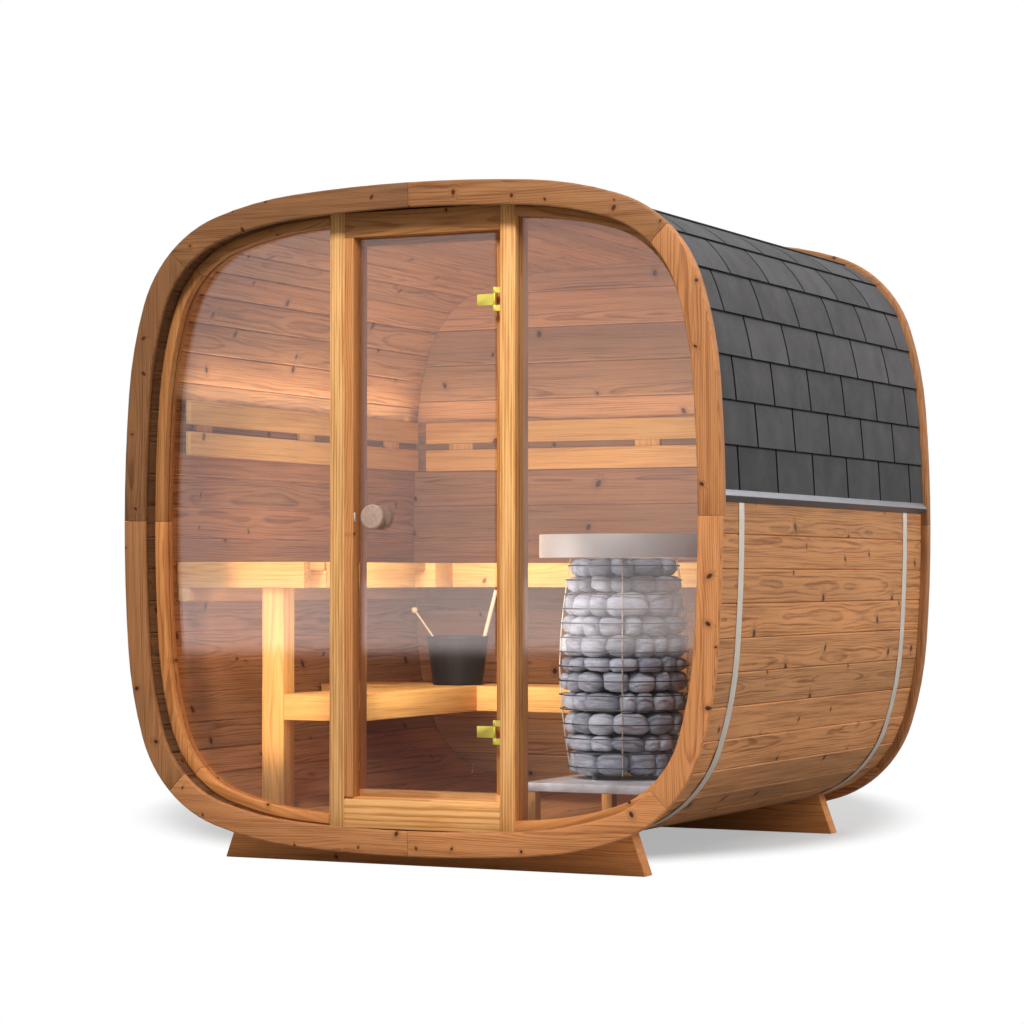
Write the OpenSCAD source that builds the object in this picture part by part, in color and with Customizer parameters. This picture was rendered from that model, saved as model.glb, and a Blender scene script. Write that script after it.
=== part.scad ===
// Outdoor barrel sauna with a rounded-square cross-section.
// X runs along the front, Y from the front to the back and Z up. The origin is on the
// ground, in the middle of the footprint. Lengths are in millimetres.

/* [Barrel] */
// Width and height of the end rings
barrel_w = 2100; // [1750:10:2520]
// Depth from the front ring to the rear ring
depth = 2000; // [1670:10:2600]
// Radius of the nearly flat middle of each side
side_r = 5470; // [4600:10:6500]
// Radius of the shoulders beside it
shoulder_r = 1273; // [1100:1:1500]
// Angle at which a side turns into a shoulder
side_angle = 4.34; // [3.6:0.02:5.2]
// Angle at which a shoulder turns into a corner
shoulder_angle = 17.66; // [15:0.02:21]
// Height of the rings above the ground
ground_gap = 42; // [35:1:60]

/* [Staves and rings] */
// Thickness of the wall staves
stave_t = 42; // [35:1:50]
// How far the rings stand proud of the staves
ring_proud = 25; // [20:1:32]
// Width of the ring face
ring_w = 79; // [72:1:95]
// Thickness of the front ring
front_ring_t = 20; // [18:1:36]
// Thickness of the rear ring
rear_ring_t = 40; // [24:1:50]
// Depth of the lip that laps over the shingle ends
ring_lip = 20; // [8:1:24]
// Width of the butt joints between ring pieces
ring_joint = 0.8; // [0.5:0.1:1.5]

/* [Roof and bands] */
// Thickness of the shingle covering
shingle_t = 10; // [6:1:14]
// Height of the eaves above the middle of the barrel
eaves_h = 80; // [50:5:200]
// Height of the drip edge profile
drip_h = 37; // [25:1:45]
// How far the drip edge stands out from the staves
drip_out = 23; // [16:1:24]
// Width of the steel bands
band_w = 42; // [25:1:50]
// Thickness of the steel bands
band_t = 1.6; // [1:0.2:3]
// Distance of a band's middle from the nearer end
band_inset = 222; // [200:1:300]

/* [Cradles] */
// Length of a cradle on the ground
cradle_l = 1486; // [1250:2:1600]
// Thickness of a cradle
cradle_t = 60; // [40:1:72]
// Distance of a cradle from the nearer end
cradle_inset = 139; // [100:1:150]
// Slope of the cradle ends, inwards for each unit up
cradle_slope = 0.36; // [0.2:0.02:0.5]

/* [Front wall] */
// Distance of the front wall behind the front ring
wall_inset = 75; // [60:1:90]
// Depth of the posts and the door frame
post_d = 95; // [80:1:110]
// Depth of the curved window frame
frame_d = 55; // [45:1:80]
// Width of the curved window frame
frame_w = 38; // [30:1:60]
// Thickness of the glass
glass_t = 8; // [6:1:10]
// Distance of the window glass behind the frame face
glass_set = 30; // [25:1:35]
// Depth of the glazing groove
groove_d = 12; // [8:1:15]
// Width of a door post
post_w = 52; // [40:1:60]
// Clear width between the door posts
post_gap = 552; // [540:2:700]
// Sideways place of the middle of the door
door_cx = 6; // [-40:1:40]

/* [Door] */
// Width of the jamb on the latch side
latch_jamb_w = 33; // [25:1:40]
// How far the jambs stand behind the post face
jamb_set = 3; // [1:1:6]
// Height of the sill's front edge above the ground
sill_h = 214; // [190:1:240]
// Height of the opening between sill and head
door_h = 1774; // [1450:2:1780]
// Height of the step along the sill's front edge
sill_step = 6; // [4:1:10]
// Width of the stop behind the door glass
stop_w = 22; // [15:1:25]
// Distance of the door glass behind the post face
leaf_set = 31; // [28:1:38]
// Clearance around the door glass
leaf_gap = 6; // [6:0.5:9]
// Clearance beside the door glass on the hinge side
hinge_gap = 32; // [28:1:40]
// How far the strip on the hinge side laps behind the door glass
strip_lap = 3; // [2:1:8]
// Height of a hinge's middle from the nearer end of the door glass
hinge_inset = 209; // [150:1:300]
// Length of a hinge
hinge_l = 75; // [60:1:90]
// Diameter of the door knob
knob_d = 79; // [60:1:90]
// Thickness of the door knob
knob_t = 23; // [18:1:28]
// Distance of the knob's middle from the free edge of the door glass
knob_inset = 63; // [60:1:90]
// Height of the knob's middle above the ground
knob_h = 1100; // [950:10:1250]

/* [Back wall] */
// Thickness of the back wall
back_t = 38; // [30:1:45]
// Distance of the back wall inside the rear ring
back_inset = 67; // [60:1:90]

/* [Benches] */
// Height of the upper bench
upper_h = 960; // [850:10:1000]
// Height of the lower bench
lower_h = 530; // [430:10:560]
// Height of the bench aprons
apron_h = 86; // [70:2:100]
// Thickness of the bench slats
slat_t = 28; // [22:1:32]
// Gap between bench slats
slat_gap = 9; // [6:1:15]
// Width of the upper bench along the left wall
upper_left_w = 486; // [400:2:560]
// Width of the upper bench along the back wall
upper_back_w = 626; // [450:2:640]
// Width of the lower bench
lower_w = 280; // [240:5:320]
// Distance of the left bench behind the front wall's face
bench_front = 134; // [120:1:160]
// Distance of the step and the bench post behind the bench's front
step_back = 21; // [10:1:40]
// Width of the bench post, across
bench_post_w = 82; // [60:2:90]
// Depth of the bench post
bench_post_d = 70; // [45:1:90]
// Height of the top of the backrests
backrest_h = 1498; // [1400:2:1550]
// Height of a backrest slat
backrest_slat = 80; // [60:2:90]
// Gap between the two backrest slats
backrest_gap = 24; // [16:1:30]
// Thickness of a backrest slat
backrest_t = 20; // [16:1:28]
// Distance of the backrest slats from the wall
backrest_set = 16; // [12:1:30]

/* [Heater] */
// Widest diameter of the stone cage
cage_d = 427; // [340:1:460]
// Diameter of the stone cage at its ends
cage_end_d = 357; // [300:1:400]
// Height of the stone cage
cage_h = 697; // [500:1:800]
// Number of hoops on the cage
hoops = 15; // [8:1:18]
// Number of upright rods on the cage
rods = 4; // [3:1:12]
// Turn of the first rod from the building's right side
rod_turn = 22.5; // [0:0.5:90]
// Thickness of the cage bars
bar_t = 4; // [3:0.5:6]
// Diameter of the heat collar
collar_d = 548; // [460:2:600]
// Height of the heat collar
collar_h = 75; // [50:1:100]
// Thickness of the collar's sheet
collar_t = 3; // [2:0.5:5]
// Sideways place of the heater's middle
heater_x = 443; // [380:1:470]
// Distance of the heater's middle behind the front ring
heater_y = 660; // [620:5:740]
// Height of the top of the tray
tray_h = 260; // [240:5:280]
// Thickness of the tray
tray_t = 27; // [18:1:32]
// Left edge of the tray, from the middle of the barrel
tray_left = 244; // [180:1:250]
// Width of the tray
tray_w = 446; // [430:2:500]
// Depth of the tray
tray_d = 672; // [560:2:700]
// Height of the heater's feet
foot_h = 15; // [10:1:25]
// Side of a square leg under the tray
leg_w = 40; // [30:1:50]
// Distance of the rear legs from the tray's rear edge
leg_set = 32; // [10:1:60]

/* [Bucket] */
// Diameter of the bucket's rim
bucket_rim_d = 222; // [180:2:240]
// Diameter of the bucket's base
bucket_base_d = 176; // [140:2:190]
// Height of the bucket
bucket_h = 172; // [140:2:200]
// Thickness of the bucket's wall
bucket_t = 4; // [3:0.5:6]

/* [Hidden] */

wood = "#c98a4b";
wood_light = "#e0ac6c";
wood_dark = "#a8683a";
steel = "#b9bcc0";
brass = "#c9a93c";
glass_tint = "#b5835a80";
bitumen = "#3c3c3f";
black = "#26262a";

$fn = 48;
seat = 0.3;                            // gap where one piece rests against another
half_w = barrel_w / 2;
mid_z = ground_gap + half_w;
front_y = -depth / 2;
face_y = front_y + wall_inset;
wall_back_y = face_y + post_d;
back_y = depth / 2 - back_inset - back_t;

stave_out = ring_proud;                // depth of the staves' faces inside the outline
stave_in = ring_proud + stave_t;
frame_out = stave_in + seat;
frame_in = frame_out + frame_w;

// The outline is four equal quarters. Each has a side arc, a shoulder, a corner whose
// middle lies on the diagonal, a second shoulder and a second side arc.
side_c = [half_w - side_r, 0];
shoulder_c = side_c + (side_r - shoulder_r) * [cos(side_angle), sin(side_angle)];
corner_reach = (shoulder_c.y - shoulder_c.x) / (cos(shoulder_angle) - sin(shoulder_angle));
corner_r = shoulder_r - corner_reach;
corner_c = shoulder_c + corner_reach * [cos(shoulder_angle), sin(shoulder_angle)];

flat_steps = 4;
corner_steps = 12;
first_corner = 2 * flat_steps;         // station where a corner begins
last_corner = first_corner + corner_steps;
quarter = last_corner + first_corner;  // stations in a quarter
around = 4 * quarter;

function swap(p) = [p.y, p.x];
function arc(c, r, a0, a1, n) =
    [for (i = [0 : n - 1]) c + r * [cos(a0 + (a1 - a0) * i / n), sin(a0 + (a1 - a0) * i / n)]];
function quarter_points(inset) = concat(
    arc(side_c, side_r - inset, 0, side_angle, flat_steps),
    arc(shoulder_c, shoulder_r - inset, side_angle, shoulder_angle, flat_steps),
    arc(corner_c, corner_r - inset, shoulder_angle, 90 - shoulder_angle, corner_steps),
    arc(swap(shoulder_c), shoulder_r - inset, 90 - shoulder_angle, 90 - side_angle, flat_steps),
    arc(swap(side_c), side_r - inset, 90 - side_angle, 90, flat_steps));
function turn(p, n) = n == 0 ? p : turn([-p.y, p.x], n - 1);
function outline(inset) =
    let (q = quarter_points(inset)) [for (n = [0 : 3]) for (p = q) turn(p, n)];
function stretch(pts, k0, k1) = [for (k = [k0 : k1]) pts[(k + around) % around]];
function reversed(pts) = [for (i = [len(pts) - 1 : -1 : 0]) pts[i]];

// Half width of the inset outline at a height above or below the middle. The outline is
// the same seen from the side, so this is also its half height at a distance across.
function chord(c, r, h) = c.x + sqrt(r * r - (h - c.y) * (h - c.y));
function reach(inset, height) =
    let (h = abs(height))
    h < (side_c + (side_r - inset) * [cos(side_angle), sin(side_angle)]).y
        ? chord(side_c, side_r - inset, h)
    : h < (shoulder_c + (shoulder_r - inset) * [cos(shoulder_angle), sin(shoulder_angle)]).y
        ? chord(shoulder_c, shoulder_r - inset, h)
    : h < (corner_c + (corner_r - inset) * [sin(shoulder_angle), cos(shoulder_angle)]).y
        ? chord(corner_c, corner_r - inset, h)
    : h < (swap(shoulder_c) + (shoulder_r - inset) * [sin(side_angle), cos(side_angle)]).y
        ? chord(swap(shoulder_c), shoulder_r - inset, h)
    : chord(swap(side_c), side_r - inset, h);

// Inset of what is scribed to the inside of the staves
scribed = stave_in + 2 * seat;

// Half width of the room at a height above the ground
function room_half(z) = reach(scribed, z - mid_z);

// Extrudes a shape drawn in the plane of the front, from y0 back to y1
module slab(y0, y1) {
    translate([0, y1, mid_z]) rotate([90, 0, 0]) linear_extrude(y1 - y0) children();
}

module barrel_plug(inset, y0, y1) {
    slab(y0, y1) polygon(outline(inset));
}

module hoop(outer, inner, y0, y1) {
    slab(y0, y1) difference() {
        polygon(outline(outer));
        polygon(outline(inner));
    }
}

module box(x0, x1, y0, y1, z0, z1) {
    translate([x0, y0, z0]) cube([x1 - x0, y1 - y0, z1 - z0]);
}

module above(z) {
    box(-barrel_w, barrel_w, -depth, depth, z, 2 * barrel_w);
}

module below(z) {
    box(-barrel_w, barrel_w, -depth, depth, -barrel_w, z);
}

// ---------------------------------------------------------------- barrel shell

module shell_part(k0, k1) {
    slab(front_y + front_ring_t, -front_y - rear_ring_t) polygon(concat(
        stretch(outline(stave_out), k0, k1),
        reversed(stretch(outline(stave_in), k0, k1))));
}

module wall_at(n) {
    color(wood) shell_part(n * quarter - first_corner, n * quarter + first_corner);
}

module corner_at(n) {
    color(wood) shell_part(n * quarter + first_corner, n * quarter + last_corner);
}

module wall_right() { wall_at(0); }
module corner_upper_right() { corner_at(0); }
module roof() { wall_at(1); }
module corner_upper_left() { corner_at(1); }
module wall_left() { wall_at(2); }
module corner_lower_left() { corner_at(2); }
module floor() { wall_at(3); }
module corner_lower_right() { corner_at(3); }

// ------------------------------------------------------------------- end rings

// Saw cuts between the eight pieces of a ring
module ring_cuts() {
    for (a = [0 : 45 : 135])
        translate([0, 0, mid_z]) rotate([0, a, 0])
            cube([2 * barrel_w, 2 * depth, ring_joint], center = true);
}

module ring_board(y0, y1) {
    hoop(0, ring_w, y0, y1);
}

// Lip on the upper half of a ring that covers the ends of the shingles
module ring_cover(y0, y1) {
    intersection() {
        hoop(0, stave_out - seat, y0, y1);
        above(mid_z);
    }
}

module front_ring_upper() {
    color(wood) difference() {
        union() {
            intersection() {
                ring_board(front_y, front_y + front_ring_t);
                above(mid_z);
            }
            ring_cover(front_y + front_ring_t, front_y + front_ring_t + ring_lip);
        }
        ring_cuts();
    }
}

module front_ring_lower() {
    color(wood) difference() {
        ring_board(front_y, front_y + front_ring_t);
        ring_cuts();
        above(mid_z);
    }
}

module rear_ring() {
    color(wood) difference() {
        ring_board(-front_y - rear_ring_t, -front_y);
        ring_cuts();
    }
}

// -------------------------------------------------------------- roof and bands

eaves_z = mid_z + eaves_h;
roof_y0 = front_y + front_ring_t + ring_lip + seat;
roof_y1 = -front_y - rear_ring_t - seat;

module roof_shingles() {
    color(bitumen) intersection() {
        hoop(stave_out - seat - shingle_t, stave_out - seat, roof_y0, roof_y1);
        above(eaves_z);
    }
}

// Section of the drip edge: a face that slopes out and a return that tucks back
module drip_section(wall_x) {
    tuck_t = 2;
    polygon([[wall_x, 0], [wall_x + shingle_t, 0], [wall_x + drip_out, -drip_h * 0.46],
             [wall_x + drip_out, -drip_h * 0.54], [wall_x + tuck_t, -drip_h],
             [wall_x, -drip_h]]);
}

module drip_edges() {
    wall_x = reach(stave_out, eaves_h - drip_h) + seat;
    color(steel) for (side = [0, 1]) mirror([side, 0, 0])
        translate([0, roof_y1, eaves_z - seat]) rotate([90, 0, 0])
            linear_extrude(roof_y1 - roof_y0) drip_section(wall_x);
}

module steel_bands() {
    color(steel) for (y = [front_y + band_inset, -front_y - band_inset])
        intersection() {
            hoop(stave_out - seat - band_t, stave_out - seat, y - band_w / 2, y + band_w / 2);
            below(eaves_z - drip_h - 2 * seat);
        }
}

// --------------------------------------------------------------------- cradles

module cradle(y0) {
    half = cradle_l / 2;
    rise = mid_z - reach(stave_out, half * 0.96) + 2 * ring_proud;
    color(wood) difference() {
        translate([0, y0 + cradle_t, 0]) rotate([90, 0, 0]) linear_extrude(cradle_t)
            polygon([[-half, 0], [half, 0], [half - rise * cradle_slope, rise],
                     [-half + rise * cradle_slope, rise]]);
        barrel_plug(stave_out - seat, y0 - 1, y0 + cradle_t + 1);
    }
}

module cradle_front() { cradle(front_y + cradle_inset); }
module cradle_rear() { cradle(-front_y - cradle_inset - cradle_t); }

// ------------------------------------------------------------------ front wall

glass_y = face_y + glass_set;
post_left_x = door_cx - post_gap / 2 - post_w;
post_right_x = door_cx + post_gap / 2;
chamfer = 8;

module half_space(side, x) {
    if (side < 0) box(-barrel_w, x, -depth, depth, -barrel_w, 2 * barrel_w);
    else box(x, barrel_w, -depth, depth, -barrel_w, 2 * barrel_w);
}

// Curved frame of one window, from the top of its post round to the bottom, with a
// groove for the glass and a chamfer that leaves a shadow line at the staves
module window_frame(side, x) {
    color(wood_light) difference() {
        intersection() {
            union() {
                hoop(frame_out + chamfer, frame_in, face_y, face_y + chamfer);
                hoop(frame_out, frame_in, face_y + chamfer, face_y + frame_d);
            }
            half_space(side, x);
        }
        barrel_plug(frame_in - groove_d - seat, glass_y - seat, glass_y + glass_t + seat);
        ring_cuts();
    }
}

module window_frame_left() { window_frame(-1, post_left_x - seat); }
module window_frame_right() { window_frame(1, post_right_x + post_w + seat); }

module window_glass(side, x) {
    color(glass_tint) intersection() {
        barrel_plug(frame_in - groove_d, glass_y, glass_y + glass_t);
        half_space(side, x);
    }
}

module window_glass_left() { window_glass(-1, post_left_x + groove_d); }
module window_glass_right() { window_glass(1, post_right_x + post_w - groove_d); }

// Door post, scribed to the floor and the roof, with its front arrises taken off and a
// groove for the window glass on its outer side
module post(x, groove_x) {
    arris = 4;
    top0 = reach(scribed, x);
    top1 = reach(scribed, x + post_w);
    color(wood_light) difference() {
        union() {
            slab(face_y + arris, wall_back_y)
                polygon([[x, -top0], [x + post_w, -top1], [x + post_w, top1], [x, top0]]);
            slab(face_y, face_y + arris)
                polygon([[x + arris, -top0], [x + post_w - arris, -top1],
                         [x + post_w - arris, top1], [x + arris, top0]]);
        }
        box(groove_x, groove_x + groove_d + seat, glass_y - seat, glass_y + glass_t + seat,
            0, 2 * barrel_w);
    }
}

module post_left() { post(post_left_x, post_left_x - 0.01); }
module post_right() { post(post_right_x, post_right_x + post_w - groove_d - seat + 0.01); }

// ------------------------------------------------------------------ door frame

jamb_y = face_y + jamb_set;
leaf_y = face_y + leaf_set;
stop_y = leaf_y + glass_t + 11;
open_x0 = post_left_x + post_w + latch_jamb_w;
open_x1 = post_right_x;
sill_z = sill_h;
head_z = sill_z + door_h;
frame_x0 = post_left_x + post_w + seat;
frame_x1 = post_right_x - seat;

// Sill: a section with a step in front and the stop behind
module door_sill() {
    lip_d = 7;
    low = mid_z - reach(scribed, max(abs(frame_x0), abs(frame_x1)));
    color(wood_light) union() {
        box(frame_x0, frame_x1, jamb_y, jamb_y + lip_d, low, sill_z - sill_step);
        box(frame_x0, frame_x1, jamb_y + lip_d, stop_y, low, sill_z);
        box(frame_x0, frame_x1, stop_y, wall_back_y, low, sill_z + stop_w);
    }
}

module door_head() {
    high = mid_z + reach(scribed, max(abs(frame_x0), abs(frame_x1)));
    color(wood_light) union() {
        box(frame_x0, frame_x1, jamb_y, stop_y, head_z, high);
        box(frame_x0, frame_x1, stop_y, wall_back_y, head_z - stop_w, high);
    }
}

// The latch side has a jamb as deep as the post. On the hinge side the post itself
// carries the hinges, and the glass closes against a strip at the back.
module door_jambs() {
    strip_z0 = sill_z + stop_w + seat;
    strip_z1 = head_z - stop_w - seat;
    color(wood_light) {
        union() {
            box(frame_x0, open_x0, jamb_y, stop_y, sill_z + seat, head_z - seat);
            box(frame_x0, open_x0, stop_y, wall_back_y, strip_z0, strip_z1);
        }
        box(leaf_x1 - strip_lap, frame_x1, stop_y, wall_back_y, strip_z0, strip_z1);
    }
}

// ------------------------------------------------------------------------ door

leaf_x0 = open_x0 + leaf_gap;
leaf_x1 = open_x1 - hinge_gap;
leaf_z0 = sill_z + leaf_gap;
leaf_z1 = head_z - leaf_gap;
hinge_x = leaf_x1 + 6;
hinge_y = leaf_y - 14;
hinge_zs = [leaf_z0 + hinge_inset, leaf_z1 - hinge_inset];
barrel_d = 10;
pin_d = 4;
pin_play = 0.5;
knuckle_l = hinge_l / 2;               // the middle knuckle, on the door
clamp_w = 60;
clamp_h = knuckle_l;
clamp_t = 3;
bolt_d = 10;
clamp_x0 = leaf_x1 - clamp_w;
bolt_x = clamp_x0 + 22;
knob_x = leaf_x0 + knob_inset;
spindle_d = 14;

module door_glass() {
    color(glass_tint) difference() {
        box(leaf_x0, leaf_x1, leaf_y, leaf_y + glass_t, leaf_z0, leaf_z1);
        for (z = hinge_zs)
            translate([bolt_x, leaf_y - 1, z]) rotate([-90, 0, 0])
                cylinder(d = bolt_d + 1, h = glass_t + 2);
        translate([knob_x, leaf_y - 1, knob_h]) rotate([-90, 0, 0])
            cylinder(d = spindle_d + 1, h = glass_t + 2);
    }
}

// Fixed half of a hinge: a plate screwed to the post, two knuckles and the pin
module hinge_plate(z) {
    plate_t = 3;
    reach_x = open_x1 - hinge_x;
    translate([hinge_x, hinge_y, z]) {
        translate([reach_x - plate_t - seat, -barrel_d / 2, -hinge_l / 2])
            cube([plate_t, barrel_d + 4, hinge_l]);
        for (side = [-1, 1]) translate([0, 0, side * (hinge_l + knuckle_l) / 4]) union() {
            cylinder(d = barrel_d, h = (hinge_l - knuckle_l) / 2, center = true);
            translate([reach_x / 2 - plate_t / 2, 0, 0])
                cube([reach_x - plate_t, 4, (hinge_l - knuckle_l) / 2], center = true);
        }
        cylinder(d = pin_d, h = hinge_l, center = true);
    }
}

module hinge_plates() {
    color(brass) for (z = hinge_zs) hinge_plate(z);
}

// Moving half of a hinge: the middle knuckle and two plates bolted through the glass
module hinge_clamp(z) {
    knuckle_play = 0.4;
    web_t = 5;
    front_t = leaf_y - hinge_y - barrel_d / 2 - seat;
    difference() {
        union() {
            translate([hinge_x, hinge_y, z])
                cylinder(d = barrel_d, h = knuckle_l - 2 * knuckle_play, center = true);
            box(clamp_x0, hinge_x, leaf_y - clamp_t - seat, leaf_y - seat,
                z - clamp_h / 2 + 1, z + clamp_h / 2 - 1);
            box(hinge_x - web_t, hinge_x, hinge_y + 1, leaf_y - clamp_t,
                z - clamp_h / 2 + 1, z + clamp_h / 2 - 1);
            box(clamp_x0, clamp_x0 + clamp_w - 6, leaf_y + glass_t + seat,
                leaf_y + glass_t + seat + clamp_t, z - clamp_h / 2 + 1, z + clamp_h / 2 - 1);
            translate([bolt_x, leaf_y - clamp_t, z]) rotate([-90, 0, 0])
                cylinder(d = bolt_d, h = glass_t + 2 * clamp_t);
        }
        translate([hinge_x, hinge_y, z])
            cylinder(d = pin_d + 2 * pin_play, h = hinge_l, center = true);
    }
}

module hinge_clamps() {
    color(brass) for (z = hinge_zs) hinge_clamp(z);
}

// Round wooden knobs on both sides of the glass, turned in one piece with their necks
module knob_half(neck_l) {
    edge = 4;
    rotate_extrude() polygon([
        [0, 0], [spindle_d, 0], [spindle_d + 3, neck_l * 0.5], [spindle_d + 1, neck_l],
        [knob_d / 2 - edge, neck_l], [knob_d / 2, neck_l + edge],
        [knob_d / 2, neck_l + knob_t - edge], [knob_d / 2 - edge, neck_l + knob_t],
        [0, neck_l + knob_t]]);
}

module door_knobs() {
    neck_l = 13;
    color(wood_dark) translate([knob_x, leaf_y, knob_h]) {
        translate([0, -seat, 0]) rotate([90, 0, 0]) knob_half(neck_l);
        translate([0, glass_t + seat, 0]) rotate([-90, 0, 0]) knob_half(neck_l);
        translate([0, -1, 0]) rotate([-90, 0, 0]) cylinder(d = spindle_d, h = glass_t + 2);
    }
}

// Roller catch let into the latch jamb
module door_catch() {
    catch_h = 30;
    catch_w = 13;
    catch_out = 1.4;
    color(steel) translate([open_x0 + seat, jamb_y + 4, knob_h - catch_h / 2]) union() {
        cube([catch_out - 0.6, catch_w, catch_h]);
        translate([0, 3, 4]) cube([catch_out, catch_w - 6, catch_h - 8]);
    }
}

// ------------------------------------------------------------------- back wall

module back_wall() {
    color(wood) barrel_plug(frame_out, back_y, back_y + back_t);
}

// --------------------------------------------------------------------- benches

left_x = -room_half(upper_h - apron_h);
bench_x = left_x + upper_left_w;
bench_y0 = face_y + bench_front;
back_bench_y = back_y - seat - upper_back_w;
beam_t = 46;
recess = 148;
bearer_w = 45;
bearer_h = apron_h - slat_t;
slat_nominal = 92;

// Slats that fill a width w from the origin along X, each l long along Y
module slats(w, l) {
    count = max(1, round((w + slat_gap) / (slat_nominal + slat_gap)));
    slat_w = (w - (count - 1) * slat_gap) / count;
    for (i = [0 : count - 1])
        translate([i * (slat_w + slat_gap), 0, 0]) cube([slat_w, l, slat_t]);
}

// The same, but the slats run along X
module cross_slats(w, l) {
    mirror([1, 0, 0]) rotate([0, 0, 90]) slats(w, l);
}

module upper_bench_left() {
    z0 = upper_h - apron_h;
    edge_t = 28;
    end_w = 138;
    y1 = back_bench_y - seat;
    slat_y0 = bench_y0 + beam_t + seat;
    slat_y1 = y1 - end_w - seat;
    color(wood_light) {
        box(left_x, bench_x, bench_y0, bench_y0 + beam_t, z0, upper_h);
        box(left_x, bench_x, y1 - end_w, y1, z0, upper_h);
        translate([left_x, slat_y0, upper_h - slat_t])
            slats(upper_left_w - edge_t - slat_gap, slat_y1 - slat_y0);
        box(bench_x - edge_t, bench_x, bench_y0 + beam_t + recess, slat_y1 - recess,
            z0, upper_h);
        for (y = [slat_y0 + recess, slat_y1 - recess - bearer_w])
            box(left_x, bench_x - edge_t - seat, y, y + bearer_w, z0,
                upper_h - slat_t - seat);
    }
}

module upper_bench_back() {
    z0 = upper_h - apron_h;
    apron_t = 28;
    slat_y = back_bench_y + apron_t + slat_gap;
    slat_d = back_y - seat - slat_y;
    color(wood_light) {
        box(left_x, -left_x, back_bench_y, back_bench_y + apron_t, z0, upper_h);
        translate([left_x, slat_y, upper_h - slat_t]) cross_slats(slat_d, -2 * left_x);
        for (x = [left_x + 200, -bearer_w / 2, -left_x - 200 - bearer_w])
            box(x, x + bearer_w, back_bench_y + apron_t + seat, back_y - seat, z0,
                upper_h - slat_t - seat);
    }
}

step_y0 = bench_y0 + step_back;
lower_x0 = bench_x - 88 + seat;        // beside the bench post
lower_x1 = lower_x0 + lower_w;
lower_back_y = back_bench_y - 190;

module lower_bench_left() {
    z0 = lower_h - apron_h;
    apron_t = 28;
    y1 = lower_back_y - seat;
    color(wood_light) {
        box(lower_x0, lower_x1, step_y0, step_y0 + apron_t, z0, lower_h);
        box(lower_x1 - apron_t, lower_x1, step_y0 + apron_t + seat, y1, z0, lower_h);
        translate([lower_x0, step_y0 + apron_t + seat, lower_h - slat_t])
            slats(lower_w - apron_t - slat_gap, y1 - step_y0 - apron_t - seat);
        for (y = [step_y0 + 150, y1 - 150])
            box(lower_x0, lower_x1 - apron_t - seat, y, y + bearer_w, z0,
                lower_h - slat_t - seat);
    }
}

module lower_bench_back() {
    z0 = lower_h - apron_h;
    apron_t = 28;
    x1 = room_half(z0);
    slat_y = lower_back_y + apron_t + slat_gap;
    color(wood_light) {
        box(-x1, x1, lower_back_y, lower_back_y + apron_t, z0, lower_h);
        translate([-x1, slat_y, lower_h - slat_t])
            cross_slats(lower_w - apron_t - slat_gap, 2 * x1);
        for (x = [-x1 + 60, -bearer_w / 2, x1 - 60 - bearer_w])
            box(x, x + bearer_w, lower_back_y + apron_t + seat, lower_back_y + lower_w, z0,
                lower_h - slat_t - seat);
    }
}

// Post under the front of the upper bench and cleats along the walls
module bench_supports() {
    post_x = lower_x0 - seat - bench_post_w;
    cleat = 45;
    upper_z = upper_h - apron_h - seat;
    lower_z = lower_h - apron_h - seat;
    upper_cleat_x = room_half(upper_z - cleat);
    lower_cleat_x = room_half(lower_z - cleat);
    color(wood_light) {
        difference() {
            box(post_x, post_x + bench_post_w, step_y0, step_y0 + bench_post_d, 0,
                upper_z);
            difference() {
                box(-half_w, half_w, step_y0 - 1, step_y0 + bench_post_d + 1, -1, mid_z);
                barrel_plug(stave_in + seat, step_y0 - 2, step_y0 + bench_post_d + 2);
            }
        }
        box(-upper_cleat_x, -upper_cleat_x + cleat, bench_y0, back_bench_y - seat,
            upper_z - cleat, upper_z);
        for (side = [0, 1]) mirror([side, 0, 0]) {
            box(-upper_cleat_x, -upper_cleat_x + cleat, back_bench_y, back_y - seat,
                upper_z - cleat, upper_z);
            box(-lower_cleat_x, -lower_cleat_x + cleat, lower_back_y,
                lower_back_y + lower_w, lower_z - cleat, lower_z);
        }
    }
}

// Two slats and the blocks that hold them off the wall. The blocks lie along Y.
block_inset = 10;

module backrest(l, blocks) {
    block_l = 100;
    h = 2 * backrest_slat + backrest_gap;
    for (z = [0, backrest_slat + backrest_gap])
        translate([backrest_set + seat, 0, z]) cube([backrest_t, l, backrest_slat]);
    for (y = blocks)
        translate([0, y, block_inset])
            cube([backrest_set, block_l, h - 2 * block_inset]);
}

backrest_z = backrest_h - 2 * backrest_slat - backrest_gap;
backrest_y1 = back_y - 55;

module backrest_left() {
    y0 = bench_y0 + 10;
    l = backrest_y1 - y0;
    color(wood_light) translate([-room_half(backrest_h - block_inset), y0, backrest_z])
        backrest(l, [70, l * 0.5 - 50, l - 220]);
}

module backrest_back() {
    x0 = room_half(backrest_h) - 55;
    l = 2 * x0;
    color(wood_light) translate([-x0, back_y - seat, backrest_z]) rotate([0, 0, -90])
        backrest(l, [90, l * 0.5 - 50, l - 190]);
}

// ---------------------------------------------------------------------- heater

heater_cy = front_y + heater_y;
cage_z = tray_h + foot_h;
bulge = (cage_d - cage_end_d) / 2;

// Radius of the stone cage at a height above its base
function cage_r(h) = cage_end_d / 2 + bulge * sin(180 * h / cage_h);

profile_steps = 14;

module heater_stones() {
    inner = 2 * bar_t + 2 * seat;
    color("#6b6d72") translate([heater_x, heater_cy, cage_z]) rotate_extrude()
        polygon(concat([[0, 0]],
            [for (i = [0 : profile_steps])
                let (h = i * (cage_h - bar_t) / profile_steps) [cage_r(h) - inner, h]],
            [[0, cage_h - bar_t]]));
}

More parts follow.
